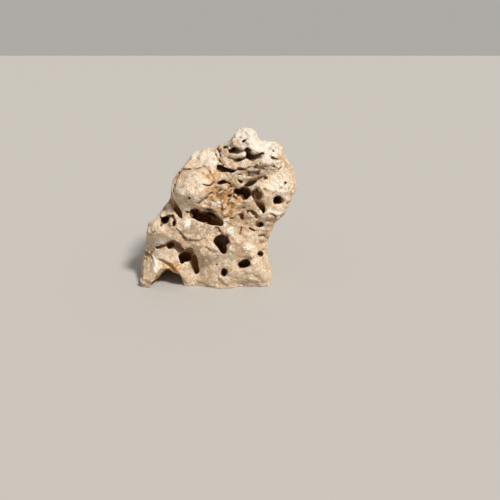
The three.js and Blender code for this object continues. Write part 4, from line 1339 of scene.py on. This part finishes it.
def new_object(name, data):
    """A new object in the scene."""
    obj = bpy.data.objects.new(name, data)
    bpy.context.scene.collection.objects.link(obj)
    return obj


def applied(obj, name):
    """The object with its modifiers made real, as a new plain object."""
    obj.update_tag()
    bpy.context.view_layer.update()
    graph = bpy.context.evaluated_depsgraph_get()
    mesh = bpy.data.meshes.new_from_object(obj.evaluated_get(graph))
    bpy.data.objects.remove(obj)
    mesh.name = name
    return new_object(name, mesh)


def rough_object(stone, most_faces):
    """The worn stone's surface as a mesh, thinned to the most triangles it may have."""
    points, quads = largest_shell(*stone.polygons())
    mesh = bpy.data.meshes.new("rough_stone")
    mesh.from_pydata(points * MM, [], quads.tolist())
    mesh.update()
    rough = new_object("rough_stone", mesh)
    share = most_faces / (2 * len(quads))
    if share < 1:
        thin = rough.modifiers.new("Thin", "DECIMATE")
        thin.ratio = share
        rough = applied(rough, "rough_stone")
    return rough


def length_property(name, description, default, **limits):
    """A length that the panel shows."""
    return bpy.props.FloatProperty(
        name=name, description=description, default=default, unit="LENGTH", **limits
    )


def colour_property(name, description, default):
    """A colour that the panel shows."""
    return bpy.props.FloatVectorProperty(
        name=name, description=description, default=default, size=4, min=0.0, max=1.0, subtype="COLOR"
    )


class HoleyRockShape(bpy.types.PropertyGroup):
    """How the stone is worn"""

    cell: length_property("Cell", "Size of the cells the stone is worn in", 0.0017, min=0.001)
    relief: bpy.props.FloatProperty(
        name="Relief",
        description="Strength of the lumps and the crumbly grain",
        default=1.0,
        min=0.0,
        subtype="FACTOR",
    )
    pits: bpy.props.IntProperty(name="Pits", description="Most small burrows and pits", default=420, min=0)
    faces: bpy.props.IntProperty(
        name="Faces", description="Most triangles of the stone", default=192000, min=1000
    )
    grain_height: length_property("Grain Height", "Height of the finest modelled grain", 0.0006)
    pore_depth: length_property("Pore Depth", "Depth of the finest modelled pores", 0.0012)
    seed: bpy.props.IntProperty(name="Seed", description="Start of every random choice", default=11)


class HoleyRockFinish(bpy.types.PropertyGroup):
    """How the stone is coloured"""

    cream: colour_property("Cream", "Clean limestone", (0.8, 0.65, 0.48, 1))
    sand: colour_property("Sand", "Duller limestone", (0.66, 0.445, 0.265, 1))
    tan: colour_property("Tan", "Dull tan of the foot and the shelf", (0.52, 0.355, 0.215, 1))
    # Bleached crust, with painted highlights on edges, ridges and tops.
    bleached_and_highlight: colour_property("Bleached", "Bleached crust and painted highlights on edges", (0.97, 0.89, 0.775, 1))
    ochre: colour_property("Ochre", "Iron stain", (0.65, 0.36, 0.125, 1))
    rust: colour_property("Rust", "Strong iron stain", (0.47, 0.2, 0.05, 1))
    # Painted shade on faces turned from the light.
    grey_shade: colour_property("Grey", "Painted shade on faces turned from the light", (0.36, 0.265, 0.18, 1))
    # Dirt, and painted shade in pits, hollows and cracks.
    umber: colour_property("Umber", "Dirt and painted shade in pits and hollows", (0.25, 0.14, 0.062, 1))
    # Painted shade on the walls deep inside the burrows.
    cavern_shade: colour_property("Cavern", "Painted shade deep inside the burrows", (0.31, 0.14, 0.042, 1))
    roughness: bpy.props.FloatProperty(
        name="Roughness",
        description="Roughness of the stone",
        default=0.86,
        min=0.0,
        max=1.0,
        subtype="FACTOR",
    )
    bump: length_property("Bump", "Height of the grain too fine to model", 0.0011)


class HoleyRockStage(bpy.types.PropertyGroup):
    """How the stone is shown"""

    floor: colour_property("Floor", "Colour of the floor", (0.46, 0.44, 0.415, 1))
    key: bpy.props.FloatProperty(
        name="Key Light", description="Strength of the key light", default=3.65, min=0.0
    )
    softness: bpy.props.FloatProperty(
        name="Softness",
        description="How wide the key light shines from",
        default=math.radians(10),
        subtype="ANGLE",
    )
    sky: bpy.props.FloatProperty(
        name="Sky", description="Strength of the light from all around", default=0.42, min=0.0
    )


class OBJECT_OT_holey_rock(bpy.types.Operator):
    """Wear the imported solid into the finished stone"""

    bl_idname = "object.holey_rock"
    bl_label = "Stone"

    def execute(self, context):
        look = context.scene.holey_rock_shape
        base = clean_copy(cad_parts["rock"])
        stone = Stone(base, look.cell / MM, np.random.default_rng(look.seed))
        bpy.data.meshes.remove(base)
        wear(stone, look)
        rough = rough_object(stone, look.faces)
        paint(stone, rough.data)
        worn = rough.modifiers.new("Weathering", "NODES")
        worn.node_group = weathering_tree(stone_material(context.scene.holey_rock_finish))
        set_input(worn, "Grain Height", look.grain_height)
        set_input(worn, "Pore Depth", look.pore_depth)
        set_input(worn, "Seed", look.seed)
        piece = applied(rough, "holey_stone")
        for polygon in piece.data.polygons:
            polygon.use_smooth = True
        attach(piece, "root")
        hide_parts("rock")
        return {"FINISHED"}


def lay_floor(look):
    """A wide pale floor."""
    mesh = bpy.data.meshes.new("floor")
    corners = [(x * FLOOR_HALF, y * FLOOR_HALF, 0) for x, y in ((-1, -1), (1, -1), (1, 1), (-1, 1))]
    mesh.from_pydata(corners, [], [(0, 1, 2, 3)])
    floor = new_object("floor", mesh)
    material = bpy.data.materials.new("pale_floor")
    material.use_nodes = True
    shader = material.node_tree.nodes["Principled BSDF"]
    shader.inputs["Base Color"].default_value = tuple(look.floor)
    shader.inputs["Roughness"].default_value = 0.9
    mesh.materials.append(material)


def light_scene(scene, look):
    """A soft key light from the upper right front, and light from all around."""
    sun = bpy.data.lights.new("key", "SUN")
    sun.energy = look.key
    sun.angle = look.softness
    sun.color = KEY_COLOUR
    lamp = new_object("key", sun)
    lamp.rotation_euler = KEY_WAY.to_track_quat("-Z", "Y").to_euler()
    lamp.location = KEY_PLACE
    world = bpy.data.worlds.new("studio")
    world.use_nodes = True
    background = world.node_tree.nodes["Background"]
    background.inputs["Color"].default_value = SKY_COLOUR
    background.inputs["Strength"].default_value = look.sky
    scene.world = world
    scene.view_settings.view_transform = "Standard"


def set_camera(scene):
    """The camera that sees the face as the eye does."""
    lens = bpy.data.cameras.new("camera")
    lens.sensor_width = SENSOR_WIDTH
    lens.lens = SENSOR_WIDTH * FOCAL_LENGTH / VIEW_WIDTH
    lens.clip_start = 0.01
    lens.clip_end = 50.0
    camera = new_object("camera", lens)
    camera.location = Vector(EYE) * MM
    camera.rotation_euler = (math.radians(90 - PITCH), 0.0, 0.0)
    scene.camera = camera


class OBJECT_OT_holey_rock_stage(bpy.types.Operator):
    """Lay the floor, hang the lights and set up the camera"""

    bl_idname = "object.holey_rock_stage"
    bl_label = "Stage"

    def execute(self, context):
        look = context.scene.holey_rock_stage
        lay_floor(look)
        light_scene(context.scene, look)
        set_camera(context.scene)
        return {"FINISHED"}


class VIEW3D_PT_holey_rock(bpy.types.Panel):
    """Lists the steps that make the holey rock"""

    bl_label = "Holey Rock"
    bl_space_type = "VIEW_3D"
    bl_region_type = "UI"
    bl_category = "Holey Rock"

    def draw(self, context):
        scene = context.scene
        for group, operator in (
            (scene.holey_rock_shape, OBJECT_OT_holey_rock),
            (scene.holey_rock_finish, None),
            (scene.holey_rock_stage, OBJECT_OT_holey_rock_stage),
        ):
            box = self.layout.box()
            for name in group.__annotations__:
                box.prop(group, name)
            if operator:
                box.operator(operator.bl_idname)


CLASSES = (
    HoleyRockShape,
    HoleyRockFinish,
    HoleyRockStage,
    OBJECT_OT_holey_rock,
    OBJECT_OT_holey_rock_stage,
    VIEW3D_PT_holey_rock,
)


def register():
    """Adds the classes and the settings to Blender."""
    for item in CLASSES:
        bpy.utils.register_class(item)
    bpy.types.Scene.holey_rock_shape = bpy.props.PointerProperty(type=HoleyRockShape)
    bpy.types.Scene.holey_rock_finish = bpy.props.PointerProperty(type=HoleyRockFinish)
    bpy.types.Scene.holey_rock_stage = bpy.props.PointerProperty(type=HoleyRockStage)


def unregister():
    """Takes them out again."""
    del bpy.types.Scene.holey_rock_stage
    del bpy.types.Scene.holey_rock_finish
    del bpy.types.Scene.holey_rock_shape
    for item in reversed(CLASSES):
        bpy.utils.unregister_class(item)


def main():
    """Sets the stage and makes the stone."""
    register()
    bpy.ops.object.holey_rock_stage()
    bpy.ops.object.holey_rock()


if __name__ == "__main__":
    main()
